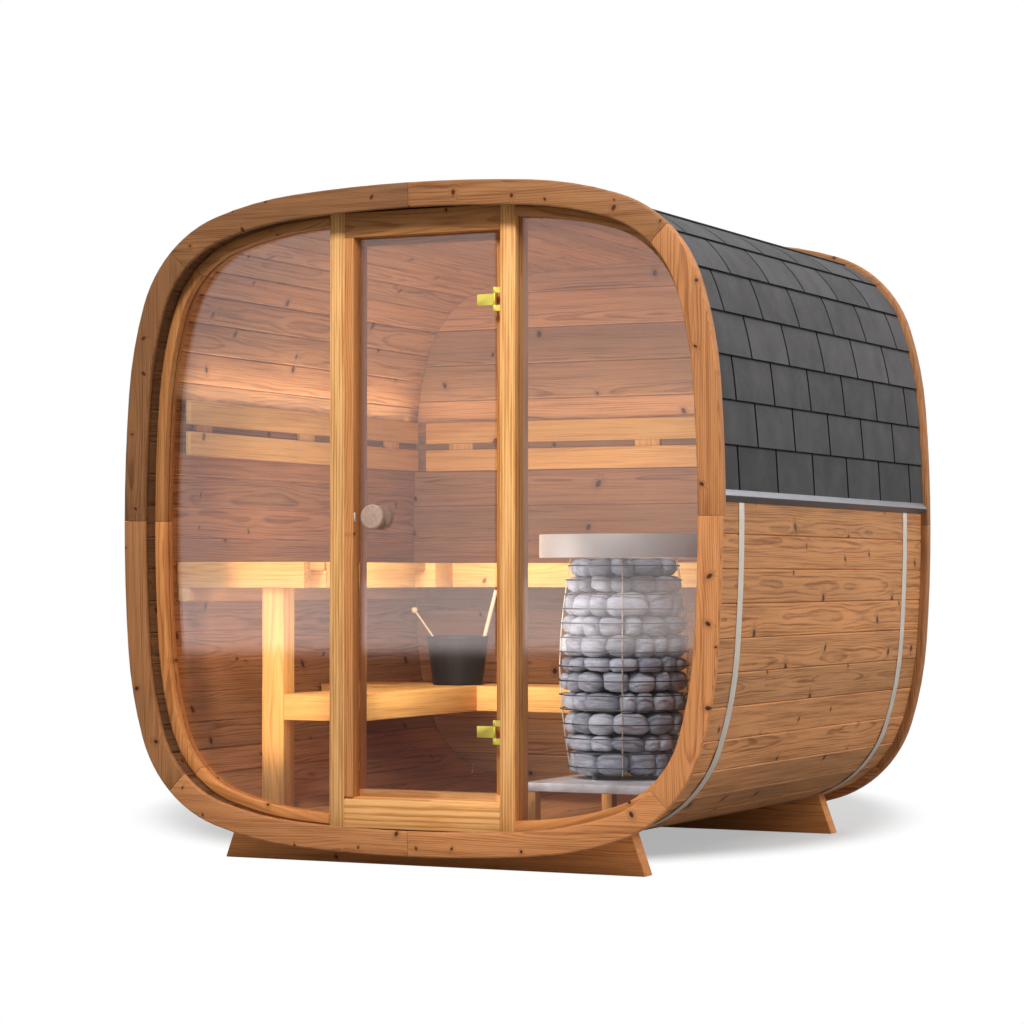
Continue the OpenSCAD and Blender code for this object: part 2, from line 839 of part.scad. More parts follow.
// Upright bar that follows the bulge, drawn on edge in the XZ plane
module cage_rod() {
    translate([0, bar_t / 2, 0]) rotate([90, 0, 0]) linear_extrude(bar_t)
        polygon(concat(
            [for (i = [0 : profile_steps])
                let (h = i * cage_h / profile_steps) [cage_r(h) - bar_t - seat, h]],
            [for (i = [profile_steps : -1 : 0])
                let (h = i * cage_h / profile_steps) [cage_r(h) - 2 * bar_t - seat, h]]));
}

module cage_hoop(h) {
    r = max(cage_r(h), cage_r(h + bar_t));
    translate([0, 0, h]) difference() {
        cylinder(r = r, h = bar_t);
        translate([0, 0, -1]) cylinder(r = r - bar_t, h = bar_t + 2);
    }
}

module heater_cage() {
    color(steel) translate([heater_x, heater_cy, cage_z]) {
        for (i = [0 : rods - 1]) rotate([0, 0, rod_turn + i * 360 / rods]) cage_rod();
        for (i = [0 : hoops - 1]) cage_hoop((i + 0.5) * (cage_h - bar_t) / hoops);
    }
}

// Wide sheet collar above the cage, carried on four arms that rest on the cage
module heater_collar() {
    arm_w = 20;
    color(steel) translate([heater_x, heater_cy, cage_z + cage_h + seat]) union() {
        difference() {
            cylinder(d = collar_d, h = collar_h);
            translate([0, 0, -1]) cylinder(d = collar_d - 2 * collar_t, h = collar_h + 2);
        }
        difference() {
            for (a = [0, 90]) rotate([0, 0, a + rod_turn])
                translate([-collar_d / 2 + collar_t / 2, -arm_w / 2, 0])
                    cube([collar_d - collar_t, arm_w, collar_t]);
            translate([0, 0, -1]) cylinder(d = cage_end_d - 60, h = collar_t + 2);
        }
    }
}

tray_y = heater_cy - tray_d / 2;

module heater_tray() {
    foot_r = cage_end_d / 2 - 3 * bar_t;
    color("#d8d8da") union() {
        box(tray_left, tray_left + tray_w, tray_y, tray_y + tray_d, tray_h - tray_t, tray_h);
        translate([heater_x, heater_cy, tray_h - 1])
            for (a = [20 : 120 : 260]) rotate([0, 0, a]) translate([foot_r, 0, 0])
                cylinder(d = 22, h = foot_h + 1 - seat);
    }
}

// Four legs under the tray, scribed to the curved floor
module heater_stand() {
    top = tray_h - tray_t - seat;
    color(wood) intersection() {
        for (x = [tray_left, tray_left + tray_w - leg_w])
            for (y = [tray_y + 4, tray_y + tray_d - leg_set - leg_w])
                box(x, x + leg_w, y, y + leg_w, 0, top);
        barrel_plug(stave_in + seat, tray_y, tray_y + tray_d + 1);
    }
}

// ---------------------------------------------------------------------- bucket

bucket_x = lower_x1 - 128;
bucket_y = lower_back_y + 102;

module bucket() {
    rim_t = 4;
    r0 = bucket_base_d / 2;
    r1 = bucket_rim_d / 2;
    color(black) translate([bucket_x, bucket_y, lower_h + seat]) rotate_extrude()
        polygon([[0, 0], [r0, 0], [r1 - rim_t, bucket_h - 10], [r1, bucket_h - 10],
                 [r1, bucket_h], [r1 - rim_t - bucket_t, bucket_h],
                 [r0 - bucket_t, bucket_t], [0, bucket_t]]);
}

// Ladle that leans on the rim: a wooden handle and a small steel cup. Beside it a thin
// rod with a round tip leans the other way.
module ladle() {
    lean = 14;
    lean_to = 26;
    cup_d = 70;
    handle_d = 14;
    handle_l = 333;
    floor_z = bucket_t + seat;
    rim_r = bucket_rim_d / 2 - 2 * bucket_t;
    handle_x = cup_d / 2 - handle_d / 2 + 1;
    cup_z = floor_z + cup_d / 2 * sin(lean);
    cup_x = rim_r - handle_d / 2 / cos(lean) - seat - handle_x * cos(lean)
        - (bucket_h - cup_z + handle_x * sin(lean)) * tan(lean);
    rod_d = 6;
    rod_lean = 35;
    rod_l = 310;
    tip_d = 22;
    rod_side = 48;
    rod_rim = rim_r - rod_d / 2 / cos(rod_lean) - seat;
    rod_x = sqrt(rod_rim * rod_rim - rod_side * rod_side)
        - (bucket_h - floor_z - rod_d) * tan(rod_lean);
    translate([bucket_x, bucket_y, lower_h + seat]) {
        rotate([0, 0, lean_to]) translate([cup_x, 0, cup_z]) rotate([0, lean, 0]) {
            color(wood_light) translate([handle_x, 0, 6])
                cylinder(d = handle_d, h = handle_l);
            color(steel) difference() {
                cylinder(d = cup_d, h = 45);
                translate([0, 0, 3]) cylinder(d = cup_d - 4, h = 50);
            }
        }
        color(steel) rotate([0, 0, 180 + lean_to])
            translate([rod_x, rod_side, floor_z + rod_d]) rotate([0, rod_lean, 0]) union() {
                cylinder(d = rod_d, h = rod_l);
                translate([0, 0, rod_l]) sphere(d = tip_d);
            }
    }
}

floor();
corner_lower_right();
wall_right();
corner_upper_right();
roof();
corner_upper_left();
wall_left();
corner_lower_left();
front_ring_upper();
front_ring_lower();
rear_ring();
roof_shingles();
drip_edges();
steel_bands();
cradle_front();
cradle_rear();
window_frame_left();
window_frame_right();
window_glass_left();
window_glass_right();
post_left();
post_right();
door_head();
door_sill();
door_jambs();
door_glass();
hinge_plates();
hinge_clamps();
door_knobs();
door_catch();
back_wall();
upper_bench_left();
upper_bench_back();
lower_bench_left();
lower_bench_back();
bench_supports();
backrest_left();
backrest_back();
heater_stones();
heater_cage();
heater_collar();
heater_tray();
heater_stand();
bucket();
ladle();
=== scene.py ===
# %% [markdown]
# # An outdoor barrel sauna
# The building is a wooden barrel with a rounded-square section. Its rings, posts, benches
# and hinges come from the construction model at their real size. This lesson dresses them:
# it models the staves, wall boards, shingles and heater stones, softens the edges of the
# joinery, and gives every surface a finish made of nodes.

# %% Load the construction model
import bmesh
import bpy
import math
import random
from mathutils import Matrix, Vector


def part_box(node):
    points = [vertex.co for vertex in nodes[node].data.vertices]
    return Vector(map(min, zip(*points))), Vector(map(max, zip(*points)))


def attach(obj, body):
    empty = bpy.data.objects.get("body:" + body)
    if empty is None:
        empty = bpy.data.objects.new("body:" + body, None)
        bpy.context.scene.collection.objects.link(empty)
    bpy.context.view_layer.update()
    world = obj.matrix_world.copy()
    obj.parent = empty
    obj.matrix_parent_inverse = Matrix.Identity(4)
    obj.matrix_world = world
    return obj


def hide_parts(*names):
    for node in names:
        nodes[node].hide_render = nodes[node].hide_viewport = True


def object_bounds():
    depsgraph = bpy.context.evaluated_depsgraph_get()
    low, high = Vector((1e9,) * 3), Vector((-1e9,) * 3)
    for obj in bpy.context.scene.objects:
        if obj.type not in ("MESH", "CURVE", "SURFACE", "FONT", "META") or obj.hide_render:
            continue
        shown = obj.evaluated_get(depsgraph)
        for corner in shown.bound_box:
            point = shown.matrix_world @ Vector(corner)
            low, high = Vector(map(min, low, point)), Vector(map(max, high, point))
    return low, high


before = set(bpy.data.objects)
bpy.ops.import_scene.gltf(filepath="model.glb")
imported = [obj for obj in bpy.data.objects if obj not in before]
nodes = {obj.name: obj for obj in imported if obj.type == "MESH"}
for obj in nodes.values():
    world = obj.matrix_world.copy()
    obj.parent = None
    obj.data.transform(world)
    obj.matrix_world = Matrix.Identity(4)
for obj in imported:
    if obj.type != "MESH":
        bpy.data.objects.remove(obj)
cad_low, cad_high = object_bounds()
random.seed(7)
print("CAD box", [round(v, 3) for v in cad_low], [round(v, 3) for v in cad_high])

# %% [markdown]
# ## Camera, floor and light
# The camera stands to the right of the front at eye level, a few metres away, with a long
# lens. A pale floor takes the shadow. Large soft lamps stand in for an overcast studio.
# The world looks white to the camera and in the glass, but lights the wood more gently.

# %% Camera
scene = bpy.context.scene
front_y, back_y = cad_low.y, cad_high.y
eye = Vector((4.2711, front_y - 8.0193, 0.9066))
lens_mm = 102.66
tilt, turn = math.radians(91.297), math.radians(25.991)
camera_data = bpy.data.cameras.new("camera")
camera_data.lens = lens_mm
camera = bpy.data.objects.new("camera", camera_data)
camera.location = eye
camera.rotation_euler = (tilt, 0, turn)
scene.collection.objects.link(camera)
scene.camera = camera
scene.view_settings.view_transform = "Standard"
print("camera", [round(v, 2) for v in camera.location], "lens", camera_data.lens)

# %% [markdown]
# ## Tools for modelling
# The same few steps come back all through the lesson: choose an object, go into edit mode,
# select some faces by where they lie, and leave again. Each gets a short function, so that
# the later cells say only what is done to the piece.

# %% Small helpers for selecting and editing
def pick(*objects):
    """Selects only these objects and makes the first one active."""
    bpy.ops.object.select_all(action="DESELECT")
    for obj in objects:
        obj.select_set(True)
    bpy.context.view_layer.objects.active = objects[0]


def edit(obj, kind="FACE"):
    """Enters edit mode with nothing selected."""
    pick(obj)
    bpy.ops.object.mode_set(mode="EDIT")
    bpy.ops.mesh.select_mode(type=kind)
    bpy.ops.mesh.select_all(action="DESELECT")


def select(obj, kind, test):
    """In edit mode, selects the faces, edges or vertices that pass a test."""
    bpy.ops.mesh.select_mode(type=kind)
    mesh = bmesh.from_edit_mesh(obj.data)
    parts = {"FACE": mesh.faces, "EDGE": mesh.edges, "VERT": mesh.verts}[kind]
    for part in parts:
        part.select_set(bool(test(part)))
    mesh.select_flush_mode()
    bmesh.update_edit_mesh(obj.data)


def leave():
    bpy.ops.object.mode_set(mode="OBJECT")


def joined(objects, name):
    """Joins meshes into one object with its place in its mesh."""
    bpy.context.view_layer.update()
    pick(*objects)
    if len(objects) > 1:
        bpy.ops.object.join()
    obj = bpy.context.view_layer.objects.active
    obj.name = obj.data.name = name
    return obj


def copy_of(obj, matrix):
    """A copy with its own mesh, moved by a matrix that may also mirror it."""
    twin = bpy.data.objects.new(obj.name, obj.data.copy())
    scene.collection.objects.link(twin)
    twin.data.transform(matrix)
    if matrix.determinant() < 0:
        twin.data.flip_normals()
    return twin


def faces_of(obj):
    return f"{obj.name}: {len(obj.data.polygons)} faces"


# %% [markdown]
# ## Writing materials as maths
# A finish is easier to read as a formula than as a tangle of wires. The small class below
# wraps a node's socket, so that `1 - mask * 0.5` adds the Math nodes by itself. A second
# class holds one material and makes every other node through one method.

# %% Sockets that do maths
class Sock:
    """An output socket. Arithmetic on it adds Math nodes."""

    def __init__(self, finish, socket):
        self.finish, self.socket = finish, socket

    def math(self, operation, *values):
        return self.finish.node("ShaderNodeMath", {"operation": operation}, values)

    def __add__(self, other):
        return self.math("ADD", self, other)

    def __sub__(self, other):
        return self.math("SUBTRACT", self, other)

    def __mul__(self, other):
        return self.math("MULTIPLY", self, other)

    def __truediv__(self, other):
        return self.math("DIVIDE", self, other)

    def __pow__(self, other):
        return self.math("POWER", self, other)

    def __rsub__(self, other):
        return self.math("SUBTRACT", other, self)

    def __rtruediv__(self, other):
        return self.math("DIVIDE", other, self)

    __radd__ = __add__
    __rmul__ = __mul__

    def fraction(self):
        return self.math("FRACT", self)

    def between(self, low, high):
        """0 below low, 1 above high and a smooth step between them."""
        settings = {"interpolation_type": "SMOOTHSTEP"}
        return self.finish.node("ShaderNodeMapRange", settings, {0: self, 1: low, 2: high})


class Finish:
    """One material with a Principled shader, and the method that makes its nodes."""

    def __init__(self, name, **constants):
        self.material = bpy.data.materials.new(name)
        self.material.use_nodes = True
        self.tree = self.material.node_tree
        self.shader = self.tree.nodes["Principled BSDF"]
        for key, value in constants.items():
            self.shader.inputs[key.replace("_", " ")].default_value = value

    def node(self, kind, settings=None, values=(), out=0):
        """Makes a node, sets it up, fills its inputs and returns one output."""
        made = self.tree.nodes.new(kind)
        for key, value in (settings or {}).items():
            if key == "stops":
                ramp = made.color_ramp.elements
                while len(ramp) < len(value):
                    ramp.new(1)
                for stop, (place, colour) in zip(ramp, value):
                    stop.position, stop.color = place, (*colour, 1)
            else:
                setattr(made, key, value)
        pairs = values.items() if isinstance(values, dict) else enumerate(values)
        for key, value in pairs:
            self.fill(made.inputs[key], value)
        return Sock(self, made.outputs[out])

    def fill(self, socket, value):
        if isinstance(value, Sock):
            self.tree.links.new(value.socket, socket)
        elif isinstance(value, (tuple, list)) and socket.type == "RGBA":
            socket.default_value = (*value, 1)
        else:
            socket.default_value = value

    def set(self, name, value):
        self.fill(self.shader.inputs[name], value)

    def mix(self, amount, one, two, blend="MIX"):
        settings = {"data_type": "RGBA", "blend_type": blend}
        return self.node("ShaderNodeMix", settings, {0: amount, 6: one, 7: two}, 2)

    def vector(self, x, y, z):
        return self.node("ShaderNodeCombineXYZ", None, (x, y, z))

    def split(self, vector):
        made = self.tree.nodes.new("ShaderNodeSeparateXYZ")
        self.fill(made.inputs[0], vector)
        return [Sock(self, out) for out in made.outputs]

    def noise(self, place, scale, detail=3, roughness=0.5):
        values = {"Vector": place, "Scale": scale, "Detail": detail, "Roughness": roughness}
        return self.node("ShaderNodeTexNoise", None, values)

    def place(self):
        return self.node("ShaderNodeTexCoord", None, (), "Object")

    def bump(self, height, distance, strength=1.0):
        values = {"Height": height, "Distance": distance, "Strength": strength}
        self.set("Normal", self.node("ShaderNodeBump", None, values))


print("material tools ready")

# %% [markdown]
# The floor is pale near the building and white further off, so that its far edge melts
# into the white world. Only the camera and the glass see that white, as it is Light Path's
# doing, so it adds no light to the wood. In the glass the far floor is the brighter part,
# and the near floor is dark, as wet ground would be. An oval round the shadow marks where
# the floor is still seen as lit; there a thin white veil keeps the shadow pale.

# %% Floor and world
bpy.ops.mesh.primitive_plane_add(size=2000, location=(0, 0, 0))
floor = bpy.context.active_object
floor.name = "studio_floor"
paving = Finish("studio_floor", Roughness=0.9)
paving.shader.inputs["Specular IOR Level"].default_value = 0.1
spot = paving.place()
speckle = paving.noise(spot, 3.0)
pale = paving.mix(speckle, (0.44, 0.44, 0.44), (0.47, 0.47, 0.47))
away = paving.node("ShaderNodeVectorMath", {"operation": "LENGTH"}, (spot,), "Value")
x, y, z = paving.split(spot)
sideways = x * math.cos(turn) + y * math.sin(turn)
further = y * math.cos(turn) - x * math.sin(turn)
shadow_left, shadow_back = 0.05, 1.65
shadow_w, shadow_d = 1.48, 2.35
past = (((sideways + shadow_left) / shadow_w) ** 2 +
        ((further - shadow_back) / shadow_d) ** 2) ** 0.5
seen = paving.node("ShaderNodeLightPath", None, (), "Is Camera Ray")
through = paving.node("ShaderNodeLightPath", None, (), "Is Transmission Ray")
shiny = paving.node("ShaderNodeLightPath", None, (), "Is Glossy Ray")
paving.set("Base Color", paving.mix(shiny * 0.8, pale, (0.05, 0.045, 0.04)))
far_glare = (1.9, 1.8, 1.7)
far_start, far_end = 24.0, 33.0
light = paving.mix(shiny, (1, 1, 1), far_glare)
white = paving.node("ShaderNodeEmission", None, {"Color": light, "Strength": 1.0})
veil = 0.42
direct = (past.between(0.88, 1.06) * (1 - veil) + veil) * (seen + through)
blend = paving.node("ShaderNodeMixShader", None, {
    0: direct + away.between(far_start, far_end) * shiny,
    1: Sock(paving, paving.shader.outputs[0]), 2: white})
output = paving.tree.nodes["Material Output"]
paving.tree.links.new(blend.socket, output.inputs["Surface"])
floor.data.materials.append(paving.material)

world = bpy.data.worlds.new("studio")
scene.world = world
world.use_nodes = True
tree = world.node_tree
backdrop = tree.nodes["Background"]
rays = tree.nodes.new("ShaderNodeLightPath")
level = tree.nodes.new("ShaderNodeMath")
level.operation = "MULTIPLY_ADD"
soft_light, in_glass = 0.36, 0.95
level.inputs[1].default_value = in_glass
tree.links.new(rays.outputs["Is Glossy Ray"], level.inputs[0])
tree.links.new(rays.outputs["Is Camera Ray"], level.inputs[2])
glow = tree.nodes.new("ShaderNodeMapRange")
glow.inputs["To Min"].default_value = soft_light
tree.links.new(level.outputs[0], glow.inputs["Value"])
tree.links.new(glow.outputs["Result"], backdrop.inputs["Strength"])
backdrop.inputs["Color"].default_value = (1, 1, 1, 1)
print("floor and world ready")

# %% [markdown]
# One high lamp in front gives the shadow. Lamps on the right, above and behind fill the
# other sides. All of them are large or far away, so that their light is soft.

# %% Lamps
def lamp(name, place, target, size, power, colour=(1, 1, 1), depth=None, spread=180):
    """A soft lamp at a place, turned to face a target; square, or a strip with a depth."""
    data = bpy.data.lights.new(name, "AREA")
    data.size, data.energy, data.color = size, power, colour
    data.spread = math.radians(spread)
    if depth:
        data.shape, data.size_y = "RECTANGLE", depth
    obj = bpy.data.objects.new(name, data)
    obj.location = place
    obj.rotation_mode = "QUATERNION"
    obj.rotation_quaternion = (Vector(target) - Vector(place)).to_track_quat("-Z", "Y")
    obj.visible_camera = False
    scene.collection.objects.link(obj)
    return obj


middle = (0, 0, 1.0)
lamp("key_lamp", (1.1, -6.0, 6.3), middle, 1.4, 470)
lamp("side_lamp", (6.0, 1.0, 4.6), middle, 2.5, 245)
lamp("top_lamp", (0.4, 0.3, 6.5), middle, 4.0, 60)
lamp("back_lamp", (-5.0, 5.5, 3.5), middle, 3.0, 220)

# %% [markdown]
# ## Wood
# Each board keeps a note of where every point of it lies: along the grain, across it and
# through its thickness. Growth rings are circles round a pith outside the board, wobbled
# along its length, so a flat face shows arches and an edge shows lines. Knots run through
# the thickness and push the rings aside. A random number for each board shifts all of it,
# so that no two boards look alike.

# %% Notes on each board
def note_board(obj, origin, along, across, tone=None):
    """Stores each vertex's place in its board, and one number for the board's tone."""
    along, across = along.normalized(), across.normalized()
    through = along.cross(across)
    places = []
    for vertex in obj.data.vertices:
        step = vertex.co - origin
        places += [step.dot(along), step.dot(across), step.dot(through)]
    layer = obj.data.attributes.new("grain", "FLOAT_VECTOR", "POINT")
    layer.data.foreach_set("vector", places)
    layer = obj.data.attributes.new("board", "FLOAT", "POINT")
    value = random.random() if tone is None else tone
    layer.data.foreach_set("value", [value] * len(obj.data.vertices))


def renumber_board(obj):
    """Gives a copied board a random number of its own."""
    layer = obj.data.attributes["board"]
    layer.data.foreach_set("value", [random.random()] * len(obj.data.vertices))


# %% Wood finish
def wood_finish(name, pale, late, knot, ring_gap=0.0042, roughness=0.5, knots=0.6,
                knot_grid=3.0, knot_r=0.009, tone=0.3, streaks=0.5, lines=0.40, arches=0.035,
                painted_joint_shade=0.0, board_w=1.0, shaded_end=0.0):
    """Softwood: growth rings, streaks, fibres, knots and a tone for each board."""
    f = Finish(name, Roughness=roughness, Specular_IOR_Level=0.2)
    grain = f.node("ShaderNodeAttribute", {"attribute_name": "grain"}, (), "Vector")
    board = f.node("ShaderNodeAttribute", {"attribute_name": "board"}, (), "Fac")
    x, y, z = f.split(grain)
    shift = board * 37.0

    # knots, each an ellipse that leans across the grain, on a grid that is denser across
    dense_x, dense_y = 0.95, 2.2
    shift_y = shift * 1.7
    flat = f.vector(x * dense_x + shift, y * dense_y + shift_y, 0.0)
    cells = {"voronoi_dimensions": "2D"}
    values = {"Vector": flat, "Scale": knot_grid, "Randomness": 0.8}
    heart = f.node("ShaderNodeTexVoronoi", cells, values, "Position")
    chance = f.node("ShaderNodeTexVoronoi", cells, values, "Color")
    red, green, blue = f.split(chance)
    heart_x, heart_y = f.split(heart)[:2]
    from_x = x - (heart_x - shift) / dense_x
    from_y = y - (heart_y - shift_y) / dense_y
    lean = (blue - 0.5) * 0.8
    reach = ((from_x + from_y * lean) ** 2 * 1.3 + from_y ** 2 * 0.8) ** 0.5
    present = red.between(1 - knots, 1.02 - knots)
    size = green * knot_r * 0.8 + knot_r * 0.6
    core = (1 - (reach / size).between(0.75, 1.2)) * present
    swirl = (1 - (reach / size).between(0.8, 3.4)) * present

    # growth rings round a pith outside the board
    wobble = f.noise(f.vector(x * 1.3 + shift, y * 4.0, z * 4.0), 1.0, 2) - 0.5
    ripple = f.noise(f.vector(x * 8.0 + shift, y * 14.0, z * 14.0), 1.0, 2) - 0.5
    pith_y = (board * 7.7).fraction() * 0.2 - 0.1
    pith_z = (board * 3.3).fraction() * 0.08 + 0.05
    from_pith = ((y - pith_y) ** 2 + (z - pith_z) ** 2) ** 0.5
    radius = from_pith + wobble * arches + ripple * 0.003 + swirl * 0.010
    ring = (radius / ring_gap).fraction()
    latewood = ring.between(0.35, 0.86) * (1 - ring.between(0.9, 1.0))

    # streaks, fibres and the board's own tone
    streak = f.noise(f.vector(x * 2.6 + shift, y * 85.0, z * 85.0), 1.0, 4, 0.65)
    fibre = f.noise(f.vector(x * 9.0 + shift, y * 260.0, z * 260.0), 1.0, 3, 0.6)
    cloud = f.noise(f.vector(x * 2.4 + shift, y * 9.0, z * 9.0), 1.0, 3)
    dark = latewood * lines + (streak - 0.5) * streaks * 3.6 + streaks * 0.3
    colour = f.mix(dark.between(0.0, 1.0), pale, late)
    dim = 1 - tone * 0.5 + board * tone + (cloud - 0.5) * 0.4 + (fibre - 0.5) * 0.22
    if painted_joint_shade:
        # painted highlight on the planed edges of a joint, where they catch the light, and
        # painted shade at its bottom
        edge, half = (y ** 2) ** 0.5, board_w / 2
        dim = dim * (1 + edge.between(half - 0.0055, half - 0.0040) * 0.24)
        dim = dim * (1 - edge.between(half - 0.0016, half - 0.0003) * painted_joint_shade)
    inside = 0.0
    if shaded_end:
        # inner faces are greyer, and carry painted shade where they meet the end walls
        inside = 1 - z.between(-0.020, -0.012)
        end = ((x ** 2) ** 0.5).between(shaded_end - 0.055, shaded_end - 0.035)
        dim = dim * (1 - end * inside * 0.68)
    shade = f.vector(dim * (1 - inside * 0.05), dim * (1.03 - board * 0.07),
                     dim * (1.04 - board * 0.13) * (1 + inside * 0.10))
    colour = f.mix(1.0, colour, shade, "MULTIPLY")
    colour = f.mix(swirl * 0.4, colour, late)
    f.set("Base Color", f.mix(core * 0.94, colour, knot))
    f.set("Roughness", roughness + fibre * 0.18 - latewood * 0.08 - core * 0.1)
    f.bump(latewood * 0.35 + fibre * 0.5 + streak * 0.5 - core * 0.4, 0.0008, 0.7)
    return f.material


knot_brown = (0.045, 0.012, 0.005)
ring_wood = wood_finish("ring_wood", (0.44, 0.19, 0.071), (0.23, 0.080, 0.025), knot_brown,
                        tone=0.92, knots=0.8, knot_grid=5.5, knot_r=0.006, streaks=0.6)
# stave and wall boards carry a painted highlight and painted shade at each joint; the staves also
# carry painted shade at their inner ends
stave_wood = wood_finish("stave_wood", (0.54, 0.247, 0.098), (0.235, 0.086, 0.026), knot_brown,
                         tone=0.34, knots=0.75, streaks=0.6, painted_joint_shade=0.7, board_w=0.105,
                         shaded_end=(back_y - front_y) / 2 - 0.05)
wall_wood = wood_finish("wall_wood", (0.49, 0.25, 0.12), (0.21, 0.085, 0.034), knot_brown,
                        tone=0.5, knots=0.75, painted_joint_shade=0.7, board_w=0.134)
frame_wood = wood_finish("frame_wood", (0.56, 0.242, 0.080), (0.30, 0.098, 0.025), knot_brown,
                         tone=0.8, knots=0.4, knot_grid=5.0, knot_r=0.005)
post_wood = wood_finish("post_wood", (0.90, 0.49, 0.19), (0.58, 0.24, 0.06), knot_brown,
                        ring_gap=0.010, tone=0.3, knots=0.0, streaks=0.75, arches=0.01,
                        lines=0.55)
bench_wood = wood_finish("bench_wood", (0.92, 0.54, 0.20), (0.66, 0.32, 0.10),
                         (0.22, 0.08, 0.03), tone=0.12, knots=0.15, streaks=0.6)
knob_wood = wood_finish("knob_wood", (0.50, 0.35, 0.27), (0.30, 0.195, 0.145), knot_brown,
                        ring_gap=0.003, roughness=0.45, tone=0.1, knots=0.0)
ladle_wood = wood_finish("ladle_wood", (0.80, 0.62, 0.44), (0.60, 0.42, 0.27), knot_brown,
                         ring_gap=0.003, tone=0.1, knots=0.0)
print("wood finishes ready")

# %% [markdown]
# ## The barrel's outline
# A quarter of the outline is a nearly flat side, a tighter shoulder and a round corner,
# and the other half of the quarter mirrors them. The function below walks along it: it
# takes the distance from the middle of the right side and returns the point and the way
# out, at any depth inside the outline.

# %% Walk along the outline
half_w = (cad_high.x - cad_low.x) / 2
mid_z = cad_high.z - half_w
side_r, shoulder_r = 5.47, 1.273
side_angle, shoulder_angle = math.radians(4.34), math.radians(17.66)


def polar(radius, angle):
    return Vector((math.cos(angle), math.sin(angle))) * radius


side_c = Vector((half_w - side_r, 0))
shoulder_c = side_c + polar(side_r - shoulder_r, side_angle)
corner_reach = (shoulder_c.y - shoulder_c.x) / (
    math.cos(shoulder_angle) - math.sin(shoulder_angle))
corner_r = shoulder_r - corner_reach
corner_c = shoulder_c + polar(corner_reach, shoulder_angle)
diagonal = math.radians(45)
arcs = [(side_c, side_r, 0, side_angle), (shoulder_c, shoulder_r, side_angle, shoulder_angle),
        (corner_c, corner_r, shoulder_angle, diagonal)]


def eighth_length(inset):
    return sum((radius - inset) * (end - start) for _, radius, start, end in arcs)


def walk(distance, inset, measured_at=None):
    """Point and outward direction in the XZ plane, at a distance round the outline."""
    path = inset if measured_at is None else measured_at
    eighth = eighth_length(path)
    quarter, rest = divmod(distance, 2 * eighth)
    mirrored = rest > eighth
    rest = 2 * eighth - rest if mirrored else rest
    for centre, radius, start, end in arcs:
        span = (radius - path) * (end - start)
        if rest <= span or end == diagonal:
            angle = start + rest / (radius - path)
            break
        rest -= span
    point = centre + polar(radius - inset, angle)
    out = polar(1, angle)
    if mirrored:
        point, out = point.yx, out.yx
    turn = Matrix.Rotation(quarter * math.pi / 2, 2)
    point, out = turn @ point, turn @ out
    return Vector((point.x, 0, point.y + mid_z)), Vector((out.x, 0, out.y))


stave_out = 0.025
stave_t = 0.042
around = 8 * eighth_length(stave_out)
print("outline round the staves", round(around, 3), "m, corner radius", round(corner_r, 3))

# %% [markdown]
# ## Staves
# A cooper rips both edges of each stave at the angle where it meets its neighbour. The
# same is done here: a square block is laid on the outline and cut by two planes with
# Bisect. Then a narrow bevel on the long edges makes the V joints that show inside and
# outside. The barrel is symmetrical, so only half a quarter is cut, and the rest is
# copies, each with its own mesh and its own random grain.

# %% Cut the staves
staves_in_quarter = 17
pitch = around / (4 * staves_in_quarter)
ring_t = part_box("front_ring_lower")[1].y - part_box("front_ring_lower")[0].y
rear_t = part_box("rear_ring")[1].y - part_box("rear_ring")[0].y
end_gap = 0.0002
stave_y0 = front_y + ring_t + end_gap
stave_y1 = back_y - rear_t - end_gap
joint_v = 0.004


def cut_by_plane(point, normal):
    """In edit mode, cuts off what lies on the normal's side of a plane, and closes the cut."""
    bpy.ops.mesh.select_all(action="SELECT")
    bpy.ops.mesh.bisect(plane_co=point, plane_no=normal, use_fill=True, clear_outer=True)


def make_stave(number):
    """One stave between two joints, numbered from the middle of the right side."""
    low, high = (number - 0.5) * pitch, (number + 0.5) * pitch
    low_point, low_out = walk(low % around, stave_out)
    high_point, high_out = walk(high % around, stave_out)
    out = (low_out + high_out).normalized()
    along = Vector((0, 1, 0))
    across = out.cross(along)
    centre = (low_point + high_point) / 2 - out * stave_t / 2
    turn = Matrix((across, along, out)).transposed().to_4x4()
    length = stave_y1 - stave_y0
    centre.y = (stave_y0 + stave_y1) / 2
    bpy.ops.mesh.primitive_cube_add(size=1)
    stave = bpy.context.active_object
    stave.name = "stave"
    stave.data.transform(Matrix.Diagonal((1.3 * pitch, length, stave_t, 1)))
    stave.data.transform(Matrix.Translation(centre) @ turn)
    edit(stave)
    for point, way, sign in ((low_point, low_out, -1), (high_point, high_out, 1)):
        cut_by_plane(point, way.cross(along) * sign)
    select(stave, "EDGE", lambda e: abs((e.verts[0].co - e.verts[1].co).y) > length * 0.9)
    bpy.ops.mesh.bevel(offset=joint_v, segments=1, affect="EDGES")
    leave()
    note_board(stave, centre, along, across)
    return stave


cut = [make_stave(number) for number in range(staves_in_quarter // 2 + 1)]
print("cut", len(cut), "staves,", round(pitch * 1000, 1), "mm wide,", faces_of(cut[0]))

